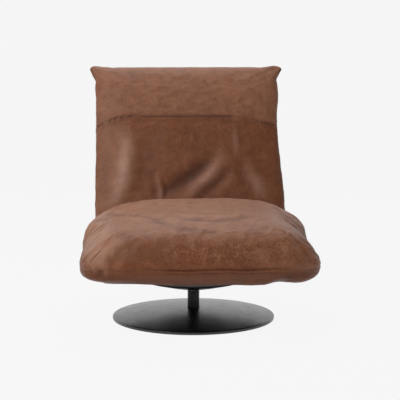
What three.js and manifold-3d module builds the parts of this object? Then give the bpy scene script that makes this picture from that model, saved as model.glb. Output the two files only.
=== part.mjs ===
// A low armless lounge chair that swivels on a round base and rocks on a sprung pivot under its seat.
// Millimetres, +Z up. The origin is on the floor on the swivel axis, and the seat's front faces -Y.
import * as THREE from "three";
import { mergeVertices } from "three/addons/utils/BufferGeometryUtils.js";
import Module from "manifold-3d";

const wasm = await Module();
wasm.setup();

// Fits shared by all pieces
const seatGap = 0.3; // between two pieces that rest on each other
const cutOverrun = 6; // how far a cutter runs past what it cuts
const weldBite = 1; // how far two welded members run into each other

// Round base
const padInset = 30; // pad's edge inside the dome's
const padThickness = 3;
const plateThickness = 8;
const coverRadius = 300;
const coverRimLow = 0.8;
const coverRimHigh = 9;
const coverBevel = 2.2;
const coverTop = 40; // crown of the dome, at the column
const coverWall = 2;

// Column and its flange
const columnRadius = 22;
const columnWall = 2.5;
const columnTop = 104;
const flangeRadius = 62;
const flangeThickness = 6;
const weldFillet = 5;
const flangeBoltCircle = 46; // radius of the ring of bolts

// Bolts through the flange and through the seat plate
const boltRadius = 4;
const boltHeadRadius = 7.5;
const boltHeadHeight = 5.3;
const boltClearance = 0.3;
const boltTipInset = 2; // how far a bolt stops short of the far side of the ballast plate

// Swivel bearing
const columnBushWall = 3.9;
const spindleFloor = 26; // lower end of the spindle
const spindleHeadLip = 6; // beyond the spindle
const spindleHeadHeight = 6;
const spindleChamfer = 1.5;
const bushLength = 20;
const bushFlangeThickness = 2.7;
const clipThickness = 2;
const clipGrooveDepth = 2;
const clipWidth = 3.2;
const clipInset = 3; // groove above the spindle's end
const washerThickness = 2;
const washerLip = 3; // beyond the column

// Rocking pivot
const rockBackAngle = 10; // degrees
const rockForwardAngle = 4; // degrees
const pivotRise = 44; // above the pan's floor
const pinRadius = 8;
const pinHeadRadius = 12;
const pinHeadThickness = 3.5;
const pinTail = 4; // pin beyond its clip
const pinClipThickness = 1.4;
const pinClipWidth = 3.6;
const pinGrooveDepth = 1.2;
const pivotBossRadius = 16;
const bushWall = 2.2;
const pivotFlangeRadius = 14;
const pivotFlangeThickness = 1.5;

// Rocker bracket: two cheeks, a floor and two spring trays, welded
const cheekThickness = 5;
const cheekClearance = 0.75; // between a spring and the cheek beside it
const cheekEndHeight = 9;
const bracketFloorThickness = 6;
const bracketFloorLip = 6; // beyond the boss, along Y
const bracketBossLip = 4; // beyond the column
const trayThickness = 4;
const trayLip = 3.75; // beyond the springs, along Y
const rockClearance = 3; // between the bracket and the pan at full rock

// Springs and rubber stops, front and rear
const springOffset = 77; // from the pivot, along Y
const springRadius = 15; // to the middle of the wire
const springWireRadius = 2.25;
const springHeight = 49.5;
const springTurns = 5;
const stopClearance = 2.25; // between a stop and the springs beside it
const stopRadius = 9.5;
const stopTaper = 1.5;
const stopStudRadius = 3;

// Seat plate with its two ears
const seatPlateThickness = 4;
const seatPlateHalfWidth = 120;
const seatPlateCorner = 18;
const seatPlateBore = 34;
const earThickness = 5;
const earTopHalf = 42;
const earFlare = 12; // degrees that an ear's sides open from its round end

// Pan that closes the mechanism from below
const panHoleRoom = 12; // around the boss
const panLift = 4; // pan's floor above the column's top
const panSlopeShare = 0.24; // rise for each step outwards
const panRoom = 18; // around the seat plate's corners
const panWall = 2;
const panBend = 14;
const panFlangeWidth = 13;
const panScrewRadius = 2.5;
const panScrewHeadRadius = 5.5;
const panScrewHeadHeight = 2.6;
const panScrewGrip = 8;

// Steel frame inside the upholstery
const tubeRadius = 12.5;
const tubeWall = 2;
const sideTubeInset = 77; // from the back's side to the middle of a side tube
const frameInset = 88; // from the seat's front to the middle of the front cross tube
const sideTubeOverhang = 16; // side tube in front of the front cross tube
const frameBend = 70;
const uprightInset = 65; // end of the uprights below the back's top edge
const uprightCover = 40; // from the back's rear face to the middle of the uprights, at the head
const railHalfDepth = 20; // box rails that carry the seat plate
const railHeight = 20;
const railWall = 2;
const railOffset = 106; // from the pivot, along Y
const railBoltInset = 30; // from the side of the seat plate
const lumbarAlong = 290; // lumbar tube, along the back from its foot
const topTubeInset = 18; // top tube below the end of the uprights
const strapThickness = 2.5;
const strapWidth = 52;
const seatStrapCount = 5;
const backStrapCount = 4;

// Leather covers and foam
const leatherThickness = 2.5;
const foamGap = 0.6;
const cushionDrop = 4; // underside of the upholstery below the seat plate's
const seatBoxing = 64; // from the underside up to the seam, where the seat is widest
const seatCrown = 175; // from the seam up to the top
const seatHalfWidth = 411;
const seatFront = -458;
const seatRear = 206;
const seatFootTrim = 8; // of the foot's curve, cut off by the flat underside
const seatRiseShare = 0.16; // the seat's top climbs towards the back
const seatArchShare = 0.17; // and falls towards both sides
const backHalfWidth = 367;
const backLean = 24; // degrees from upright
const backFootDepth = 56.7; // from the pivot to the back's front face, at the underside
const backLow = -170; // along the back, below its foot
const backHigh = 814;
const backFootThickness = 166;
const backHeadThickness = 120;
const earReach = 31;
const earRise = 36;
const backDrawIn = 5;
const backSeamAlong = 589; // seam across the back, along it from its foot
const backSeamDroop = 14; // of the seam at its ends
const backSeamHalfWidth = 11;
const backSeamDepth = 9;
const headFullness = 9; // of the panel above the seam
const sideRidgeHalfWidth = 26;
const sideRidgeHeight = 14;
const foldHalfWidth = 18; // other ridges and valleys low on the back
const foldHeight = 11;
const foldSink = 7; // of a ridge's ends into the skin, and of a valley's ends out of it
const valleyOverrun = 24; // of a valley's cut, outside the skin
const seatFoldHalfWidth = 20;
const seatFoldDepth = 8;
const cushionGap = 0.8;
const seatWrapDepth = 30; // how far the seat's rear corners reach round the back's edges
const hemWidth = 84;
const dustLap = 12; // dust cover over the hem
const dustThickness = 1.5;
const dustInset = 5;
const dustCorner = 90;
const frameRoom = 3; // around the frame inside the foam

// Outline powers of the rounded forms: 2 is an ellipse, larger is squarer
const seatPlanPowerShare = 7;
const seatCrownPowerShare = 2.75;
const seatFootPowerShare = 5;
const backPlanPowerShare = 14;
const backCrownPowerShare = 4.2;
const seatWrapPowerShare = 8;
const seamDroopPowerShare = 6;
const headPowerShare = 4;

// Where an ear and the drawn-in side of the back start and end, as shares of its half width and half length
const earAcrossShares = [0.78, 0.95];
const earAlongShares = [0.84, 0.95];
const drawAcrossShares = [0.7, 1];
const drawAlongShares = [0.5, 0.85];

// Places of the seam and the folds, as shares of the half width across, and of the way from the seat up to the
// back's seam, or of the seat's half depth
const seamAcrossShares = [-0.95, -0.6, 0.6, 0.95];
const sideRidgeShares = [[-0.72, 0.74], [-0.69, 0.38], [-0.74, 0.01]];
const ridgeShares = [
  [[0.29, 0.35], [0.13, 0.17], [0, 0.05]],
  [[0.66, 0.24], [0.71, 0.1], [0.75, 0]],
];
const valleyShares = [
  [[0.24, 0.42], [0.05, 0.24], [-0.12, 0.12], [-0.29, 0.05]],
  [[0.38, 0.24], [0.25, 0.11], [0.16, 0.03]],
];
const seatFoldShares = [[-0.26, -0.46], [-0.05, -0.6], [0.25, -0.61], [0.49, -0.49]];

// Facet counts
const discSides = 48;
const columnSides = 24;
const smallSides = 12;
const hexSides = 6;
const arcSteps = 5; // a full circle of an outline has twice as many
const domeSteps = 5;
const bendSteps = 5;
const coilSteps = 8;
const coilSides = 5;
const coilGapSteps = 48;
const seatCells = [12, 10, 5];
const backCells = [10, 12, 4];
const foldSides = 6;
const foldSteps = 5;

const degree = Math.PI / 180;

// Places that several pieces share
const padRadius = coverRadius - padInset;
const plateBottom = padThickness + seatGap;
const plateTop = plateBottom + plateThickness;
const flangeBottom = plateTop + seatGap;
const flangeTop = flangeBottom + flangeThickness;
const columnBore = columnRadius - columnWall;
const spindleRadius = columnBore - columnBushWall - 2 * seatGap;
const bushFlangeTop = columnTop + seatGap + bushFlangeThickness;
const washerBottom = bushFlangeTop + seatGap;
const bracketBottom = washerBottom + washerThickness + seatGap;
const springOutside = springRadius + springWireRadius;
const springSpread = stopRadius + stopClearance + springOutside; // from the middle, along X
const cheekInside = springSpread + springOutside + cheekClearance;
const bracketHalfWidth = cheekInside + cheekThickness;
const cheekReach = springOffset + springOutside + trayLip; // from the pivot to each end, along Y
const bracketBossRadius = columnRadius + bracketBossLip;
const earInside = bracketHalfWidth + seatGap;
const earOutside = earInside + earThickness;
const panHoleRadius = bracketBossRadius + panHoleRoom;
const panFloorHeight = columnTop + panLift;
const pivotHeight = panFloorHeight + pivotRise;
const bracketFloorHalf = bracketBossRadius + bracketFloorLip;

// The pan's upper face, and a point of the seat swung about the pivot
function panTopAt(x, y) {
  return panFloorHeight + panSlopeShare * (Math.hypot(x, y) - panHoleRadius) + panWall;
}
function swing(y, z, degrees) {
  const c = Math.cos(degrees * degree);
  const s = Math.sin(degrees * degree);
  const up = z - pivotHeight;
  return [y * c + up * s, pivotHeight + up * c - y * s];
}

// The bracket's floor and trays clear the pan at full rock, and the seat plate rests on the springs
function clearOfPan(x, y) {
  return swing(-y, panTopAt(x, y), rockBackAngle)[1] + rockClearance;
}
const bracketFloorBottom = clearOfPan(cheekInside, bracketFloorHalf);
const bracketFloorTop = bracketFloorBottom + bracketFloorThickness;
const spindleHeadLow = bracketFloorTop + seatGap;
const spindleHeadHigh = spindleHeadLow + spindleHeadHeight;
const cheekEndLow = clearOfPan(bracketHalfWidth, cheekReach);
const trayTop = cheekEndLow + trayThickness;
const springFloor = trayTop + seatGap;
const seatPlateHeight = springFloor + springHeight + seatGap;
const seatPlateHalfDepth = railOffset + railHalfDepth;
const panRadius = Math.hypot(seatPlateHalfWidth, seatPlateHalfDepth) + panRoom;
const railBottom = seatPlateHeight + seatPlateThickness + seatGap;
const railBoltSpread = seatPlateHalfWidth - railBoltInset;
const tubeHeight = railBottom + railHeight / 2;
const strapBottom = tubeHeight + tubeRadius + seatGap;
const frameRoomTop = strapBottom + strapThickness + seatGap;
const cushionBottom = seatPlateHeight - cushionDrop;
const seatSeamHeight = cushionBottom + seatBoxing;
const sideTubeSpread = backHalfWidth - sideTubeInset; // from the middle, along X
const frameFront = seatFront + frameInset;
const uprightEnd = backHigh - uprightInset; // along the back
const uprightBehind = backHeadThickness - uprightCover; // from the back's front face

// Solids: three.js geometry to a closed solid and back
function solid(geometry) {
  const bare = new THREE.BufferGeometry();
  bare.setAttribute("position", geometry.getAttribute("position"));
  if (geometry.index) bare.setIndex(geometry.index);
  const merged = mergeVertices(bare, 1e-3);
  return new wasm.Manifold(
    new wasm.Mesh({
      numProp: 3,
      vertProperties: new Float32Array(merged.attributes.position.array),
      triVerts: new Uint32Array(merged.index.array),
    }),
  );
}
function geometryOf(body) {
  const mesh = body.getMesh();
  const geometry = new THREE.BufferGeometry();
  geometry.setAttribute("position", new THREE.BufferAttribute(new Float32Array(mesh.vertProperties), 3));
  geometry.setIndex(new THREE.BufferAttribute(new Uint32Array(mesh.triVerts), 1));
  const flat = geometry.toNonIndexed();
  flat.computeVertexNormals();
  return flat;
}
function join(...geometries) {
  return geometries.map(solid).reduce((a, b) => a.add(b));
}
function cut(body, ...geometries) {
  return geometries.map(solid).reduce((a, b) => a.subtract(b), body);
}

// Shapes
function revolve(profile, sides) {
  const points = profile.map(([r, z]) => new THREE.Vector2(r, z));
  return new THREE.LatheGeometry(points, sides).rotateX(Math.PI / 2);
}
function ring(inner, outer, low, high, sides) {
  return revolve([[inner, low], [outer, low], [outer, high], [inner, high], [inner, low]], sides);
}
function rod(radius, low, high, sides) {
  return revolve([[0, low], [radius, low], [radius, high], [0, high]], sides);
}
function block(x0, x1, y0, y1, z0, z1) {
  return new THREE.BoxGeometry(x1 - x0, y1 - y0, z1 - z0)
    .translate((x0 + x1) / 2, (y0 + y1) / 2, (z0 + z1) / 2);
}
// A YZ outline, thickened along X from x0 to x1
function plateAcross(shape, x0, x1) {
  return new THREE.ExtrudeGeometry(shape, { depth: x1 - x0, bevelEnabled: false, curveSegments: arcSteps })
    .applyMatrix4(new THREE.Matrix4().set(0, 0, 1, x0, 1, 0, 0, 0, 0, 1, 0, 0, 0, 0, 0, 1));
}
function roundedRectangle(halfX, y0, y1, radius) {
  const shape = new THREE.Shape();
  shape.moveTo(-halfX + radius, y0);
  shape.absarc(halfX - radius, y0 + radius, radius, -Math.PI / 2, 0);
  shape.absarc(halfX - radius, y1 - radius, radius, 0, Math.PI / 2);
  shape.absarc(-halfX + radius, y1 - radius, radius, Math.PI / 2, Math.PI);
  shape.absarc(-halfX + radius, y0 + radius, radius, Math.PI, 1.5 * Math.PI);
  return shape;
}
function circleShape(radius, inner) {
  const shape = new THREE.Shape().absarc(0, 0, radius, 0, 2 * Math.PI);
  if (inner) shape.holes.push(new THREE.Path().absarc(0, 0, inner, 0, 2 * Math.PI, true));
  return shape;
}

// A path through stations, so that a bent tube has its rings only where it bends
class StationPath extends THREE.Curve {
  constructor(stations) {
    super();
    this.stations = stations;
  }
  getPoint(t) {
    const last = this.stations.length - 1;
    const i = Math.min(Math.floor(t * last), last - 1);
    return this.stations[i].clone().lerp(this.stations[i + 1], t * last - i);
  }
  getPointAt(t) {
    return this.getPoint(t);
  }
  getTangentAt(t) {
    const last = this.stations.length - 1;
    const i = Math.round(t * last);
    const before = this.stations[Math.max(i - 1, 0)];
    const after = this.stations[Math.min(i + 1, last)];
    return after.clone().sub(before).normalize();
  }
}
function tubeAlong(stations, radius, inner) {
  const path = new StationPath(stations);
  const options = { extrudePath: path, steps: stations.length - 1, curveSegments: arcSteps };
  return new THREE.ExtrudeGeometry(circleShape(radius, inner), options);
}
function hexHeadBolt(radius, headRadius, headHeight, length) {
  const head = rod(headRadius, -headHeight, 0, hexSides);
  const shank = rod(radius, -weldBite, length, smallSides);
  return join(head, shank);
}

// Rounded cushion forms: a box grid, denser towards its edges, drawn onto the form
function cushionGrid(cells, place) {
  const geometry = new THREE.BoxGeometry(2, 2, 2, ...cells);
  const position = geometry.getAttribute("position");
  const point = new THREE.Vector3();
  for (let i = 0; i < position.count; i++) {
    point.fromBufferAttribute(position, i);
    const direction = point.toArray().map((v) => Math.sin((v * Math.PI) / 2));
    position.setXYZ(i, ...place(...direction));
  }
  return geometry;
}
// The direction drawn onto |plan|^p + |height|^q = 1, where plan is the p-norm of its first two parts
function drawnOut(u, v, w, planPower, crownPower) {
  const plan = (Math.abs(u) ** planPower + Math.abs(v) ** planPower) ** (1 / planPower);
  const reach = (plan ** crownPower + Math.abs(w) ** crownPower) ** (-1 / crownPower);
  return [u * reach, v * reach, w * reach];
}
function smooth([from, to], value) {
  return THREE.MathUtils.smoothstep(value, from, to);
}
// How far up a form is at the given shares of its half width and half length
function crownAt(a, b, planPower, crownPower) {
  const plan = (Math.abs(a) ** planPower + Math.abs(b) ** planPower) ** (1 / planPower);
  return (1 - Math.min(plan, 1) ** crownPower) ** (1 / crownPower);
}
// A fold is a sphere drawn out along a curve on a skin, half of it outside
function fold(places, halfWidth, [above, below], sink, skin) {
  const curve = new THREE.CatmullRomCurve3(places.map(([x, y]) => new THREE.Vector3(x, y, 0)));
  const geometry = new THREE.SphereGeometry(1, foldSides, foldSteps);
  const position = geometry.getAttribute("position");
  const point = new THREE.Vector3();
  for (let i = 0; i < position.count; i++) {
    point.fromBufferAttribute(position, i);
    const share = (1 - point.y) / 2;
    const at = curve.getPointAt(share);
    const ahead = curve.getTangentAt(share);
    const side = point.x * halfWidth;
    const out = point.z * (point.z > 0 ? above : below) - sink * (1 - Math.sqrt(1 - point.y ** 2));
    position.setXYZ(i, ...skin(at.x - side * ahead.y, at.y + side * ahead.x, out));
  }
  return geometry;
}
// Joined on, a fold is a ridge, whose ends sink into the skin; cut in, it is a valley, whose ends rise out of it
function ridge(places, halfWidth, height, skin) {
  return fold(places, halfWidth, [height, height], foldSink, skin);
}
function valley(places, halfWidth, depth, skin) {
  return fold(places, halfWidth, [valleyOverrun, depth], -foldSink, skin);
}

// The back leans in its own frame: along runs up the back, behind runs from its front face rearwards
const leanSine = Math.sin(backLean * degree);
const leanCosine = Math.cos(backLean * degree);
function faceDepthAt(height) {
  return backFootDepth + ((height - cushionBottom) * leanSine) / leanCosine;
}
function backThicknessAt(along) {
  return THREE.MathUtils.lerp(backFootThickness, backHeadThickness, along / backHigh);
}

function seatCrownAt(a, b) {
  return seatCrown * (1 + seatRiseShare * b) * (1 - seatArchShare * a ** 2);
}

// Seat form, drawn in by inset. Its widest line is the seam; below it the form runs to a flat underside,
// and behind it is cut off by the leaning face of the back.
function seatForm(inset) {
  const middle = (seatFront + seatRear) / 2;
  const halfDepth = (seatRear - seatFront) / 2 - inset;
  return cushionGrid(seatCells, (u, v, w) => {
    const power = w > 0 ? seatCrownPowerShare : seatFootPowerShare;
    const [a, b, c] = drawnOut(u, v, w, seatPlanPowerShare, power);
    const rise = c > 0 ? (seatCrownAt(a, b) - inset) * c : (seatBoxing + seatFootTrim - inset) * c;
    const z = Math.max(seatSeamHeight + rise, cushionBottom + inset);
    const x = a * (seatHalfWidth - inset);
    const wrap = seatWrapDepth * Math.min(Math.abs(x) / backHalfWidth, 1) ** seatWrapPowerShare;
    const wall = faceDepthAt(z) + wrap - inset / leanCosine - cushionGap;
    return [x, Math.min(middle + b * halfDepth, wall), z];
  });
}
// The seat's solid, with the fold that sitting leaves in its top
function seatBody(inset) {
  const middle = (seatFront + seatRear) / 2;
  const halfDepth = (seatRear - seatFront) / 2;
  const skin = (x, y, out) => {
    const [a, b] = [x / seatHalfWidth, (y - middle) / halfDepth];
    const rise = seatCrownAt(a, b) * crownAt(a, b, seatPlanPowerShare, seatCrownPowerShare);
    return [x, y, seatSeamHeight + rise - inset + out];
  };
  const places = seatFoldShares.map(([a, b]) => [a * seatHalfWidth, middle + b * halfDepth]);
  return cut(solid(seatForm(inset)), valley(places, seatFoldHalfWidth + inset, seatFoldDepth, skin));
}

function onBack(x, along, behind) {
  return [
    x,
    backFootDepth + along * leanSine + behind * leanCosine,
    cushionBottom + along * leanCosine - behind * leanSine,
  ];
}
function alongAt(height, behind) {
  return (height - cushionBottom + behind * leanSine) / leanCosine;
}
function backForm(inset) {
  const middle = (backLow + backHigh) / 2;
  const halfLength = (backHigh - backLow) / 2;
  return cushionGrid(backCells, (u, v, w) => {
    const [a, b, c] = drawnOut(u, v, w, backPlanPowerShare, backCrownPowerShare);
    const corner = smooth(earAcrossShares, Math.abs(a)) * smooth(earAlongShares, b);
    const drawn = backDrawIn * smooth(drawAcrossShares, Math.abs(a)) * (1 - smooth(drawAlongShares, Math.abs(b)));
    const x = a * (backHalfWidth - inset) + Math.sign(a) * (earReach * corner - drawn);
    const along = middle + b * (halfLength - inset) + earRise * corner;
    const half = backThicknessAt(along) / 2;
    return onBack(x, along, half - c * (half - inset) - headBulge(a, along) * Math.max(c, 0));
  });
}
// The panel above the seam is fuller, most in its middle
function headBulge(a, along) {
  const share = THREE.MathUtils.clamp((along - backSeamAlong) / (backHigh - backSeamAlong), 0, 1);
  return headFullness * Math.sin(share * Math.PI) * (1 - Math.min(Math.abs(a), 1) ** headPowerShare);
}
// The back's solid, with its sewn seam and the folds that leaning leaves above the seat
function backBody(inset) {
  const middle = (backLow + backHigh) / 2;
  const halfLength = (backHigh - backLow) / 2;
  const skin = (x, along, out) => {
    const a = x / backHalfWidth;
    const crown = crownAt(a, (along - middle) / halfLength, backPlanPowerShare, backCrownPowerShare);
    const face = (backThicknessAt(along) / 2) * (1 - crown) - headBulge(a, along);
    return onBack(x, along, face + inset - out);
  };
  const foldsLow = alongAt(seatSeamHeight + seatCrown, 0);
  const placed = (shares) =>
    shares.map(([a, share]) => [a * backHalfWidth, THREE.MathUtils.lerp(foldsLow, backSeamAlong, share)]);
  const seam = seamAcrossShares.map((a) =>
    [a * backHalfWidth, backSeamAlong - backSeamDroop * Math.abs(a) ** seamDroopPowerShare]);
  const ridges = [
    ridge(placed(sideRidgeShares), sideRidgeHalfWidth - inset, sideRidgeHeight, skin),
    ...ridgeShares.map((shares) => ridge(placed(shares), foldHalfWidth - inset, foldHeight, skin)),
  ];
  const valleys = [
    valley(seam, backSeamHalfWidth + inset, backSeamDepth, skin),
    ...valleyShares.map((shares) => valley(placed(shares), foldHalfWidth + inset, foldHeight, skin)),
  ];
  return cut(ridges.map(solid).reduce((a, b) => a.add(b), solid(backForm(inset))), ...valleys);
}

// What the foam and the covers are opened for: the seat frame below, and the uprights in the back
function frameRoomBlock() {
  const halfWidth = sideTubeSpread + tubeRadius + frameRoom;
  const front = frameFront - sideTubeOverhang - frameRoom;
  const rear = panRadius + panFlangeWidth + frameRoom;
  return block(-halfWidth, halfWidth, front, rear, cushionBottom - cutOverrun, frameRoomTop);
}
const uprightAlong = alongAt(tubeHeight, uprightBehind);
const uprightFoot = onBack(0, uprightAlong, uprightBehind);
function uprightPocket() {
  const low = uprightBehind - tubeRadius - strapThickness - 2 * seatGap;
  const high = uprightBehind + tubeRadius + seatGap;
  const start = -backFootThickness;
  const end = uprightEnd + frameRoom;
  const halfWidth = sideTubeSpread + tubeRadius + frameRoom;
  return new THREE.BoxGeometry(2 * halfWidth, end - start, high - low)
    .rotateX(Math.PI / 2 - backLean * degree)
    .translate(...onBack(0, (start + end) / 2, (low + high) / 2));
}
function belowUnderside() {
  const rear = backFootDepth + backFootThickness - backLow;
  return block(-seatHalfWidth, seatHalfWidth, backLow, rear, backLow - backFootThickness, cushionBottom);
}

// Pieces
const leather = { color: 0x7a4a32, roughness: 0.48, metalness: 0 };
const blackSteel = { color: 0x17171a, roughness: 0.35, metalness: 0.6 };
const greySteel = { color: 0x8c8f93, roughness: 0.4, metalness: 0.9 };
const nylon = { color: 0xd8d6cc, roughness: 0.6, metalness: 0 };
const blackRubber = { color: 0x1b1b1b, roughness: 0.85, metalness: 0 };
const webbing = { color: 0x3a3834, roughness: 0.9, metalness: 0 };
const foam = { color: 0xe6dfc8, roughness: 0.95, metalness: 0 };
const blackCloth = { color: 0x151515, roughness: 0.95, metalness: 0 };

const chair = new THREE.Group();
const base = new THREE.Group();
const swivel = new THREE.Group();
const seat = new THREE.Group();
chair.add(base, swivel, seat);

function piece(group, name, shape, look) {
  const geometry = shape.isBufferGeometry ? shape : geometryOf(shape);
  const mesh = new THREE.Mesh(geometry, new THREE.MeshStandardMaterial(look));
  mesh.name = name;
  group.add(mesh);
  return mesh;
}

// Base: pad, ballast plate, spun dome, column bolted to the plate
function makeBase() {
  piece(base, "floor_pad", rod(padRadius, 0, padThickness, discSides), blackRubber);

  const edge = coverRadius - coverBevel;
  const edgeTop = coverRimHigh + coverBevel;
  const domeRadius = (edge ** 2 + (coverTop - edgeTop) ** 2) / (2 * (coverTop - edgeTop));
  const domeAt = (r) => coverTop - domeRadius + Math.sqrt(domeRadius ** 2 - r ** 2);
  const innerRadius = domeRadius - coverWall;
  const domeInside = (r) => coverTop - domeRadius + Math.sqrt(innerRadius ** 2 - r ** 2);
  const hole = columnRadius + seatGap;
  const skirtInside = edge - coverWall;
  const outside = [];
  const inside = [];
  for (let i = 0; i <= domeSteps; i++) {
    const share = i / domeSteps;
    const r = THREE.MathUtils.lerp(edge, hole, share);
    const s = THREE.MathUtils.lerp(hole, skirtInside, share);
    outside.push([r, domeAt(r)]);
    inside.push([s, domeInside(s)]);
  }
  const rim = [[skirtInside, coverRimLow], [coverRadius, coverRimLow], [coverRadius, coverRimHigh]];
  const shell = [...rim, ...outside, ...inside, rim[0]];
  piece(base, "base_cover", revolve(shell, discSides), blackSteel);

  // The plate reaches out to where the dome comes down onto its edge
  const plateCrown = plateTop + seatGap - (coverTop - domeRadius);
  const plateRadius = Math.min(Math.sqrt(innerRadius ** 2 - plateCrown ** 2), skirtInside - seatGap);
  const boltPlaces = [0, 1, 2, 3].map((i) => (i + 0.5) * (Math.PI / 2));
  const boltHoles = boltPlaces.map((angle) =>
    rod(boltRadius + boltClearance, -cutOverrun, flangeTop + cutOverrun, smallSides)
      .translate(flangeBoltCircle * Math.cos(angle), flangeBoltCircle * Math.sin(angle), 0));
  const plate = cut(solid(rod(plateRadius, plateBottom, plateTop, discSides)), ...boltHoles);
  piece(base, "base_plate", plate, greySteel);

  const columnProfile = [
    [columnBore, flangeBottom], [flangeRadius, flangeBottom], [flangeRadius, flangeTop],
    [columnRadius + weldFillet, flangeTop], [columnRadius, flangeTop + weldFillet],
    [columnRadius, columnTop], [columnBore, columnTop], [columnBore, flangeBottom],
  ];
  piece(base, "column", cut(solid(revolve(columnProfile, columnSides)), ...boltHoles), blackSteel);

  const boltLength = flangeTop + seatGap - plateBottom - boltTipInset;
  boltPlaces.forEach((angle, i) => {
    const bolt = hexHeadBolt(boltRadius, boltHeadRadius, boltHeadHeight, boltLength);
    const mesh = piece(base, "flange_bolt_" + (i + 1), bolt, greySteel);
    mesh.rotation.x = Math.PI;
    mesh.position.set(flangeBoltCircle * Math.cos(angle), flangeBoltCircle * Math.sin(angle), flangeTop + seatGap);
  });

  const bushOutside = columnBore - seatGap;
  const bushBore = spindleRadius + seatGap;
  const upperProfile = [
    [bushBore, columnTop - bushLength], [bushOutside, columnTop - bushLength],
    [bushOutside, columnTop + seatGap], [columnRadius, columnTop + seatGap],
    [columnRadius, bushFlangeTop], [bushBore, bushFlangeTop], [bushBore, columnTop - bushLength],
  ];
  piece(base, "upper_bush", revolve(upperProfile, columnSides), nylon);
  const lowerBottom = spindleFloor + clipInset + clipThickness + 2 * seatGap;
  const lowerBush = ring(bushBore, bushOutside, lowerBottom, lowerBottom + bushLength, columnSides);
  piece(base, "lower_bush", lowerBush, nylon);
}

// A split ring: a full ring with a wedge of it taken out
function splitRing(inner, outer, low, high) {
  const gap = block(0, outer + cutOverrun, -inner / 2, inner / 2, low - cutOverrun, high + cutOverrun);
  return cut(solid(ring(inner, outer, low, high, columnSides)), gap);
}

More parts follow.
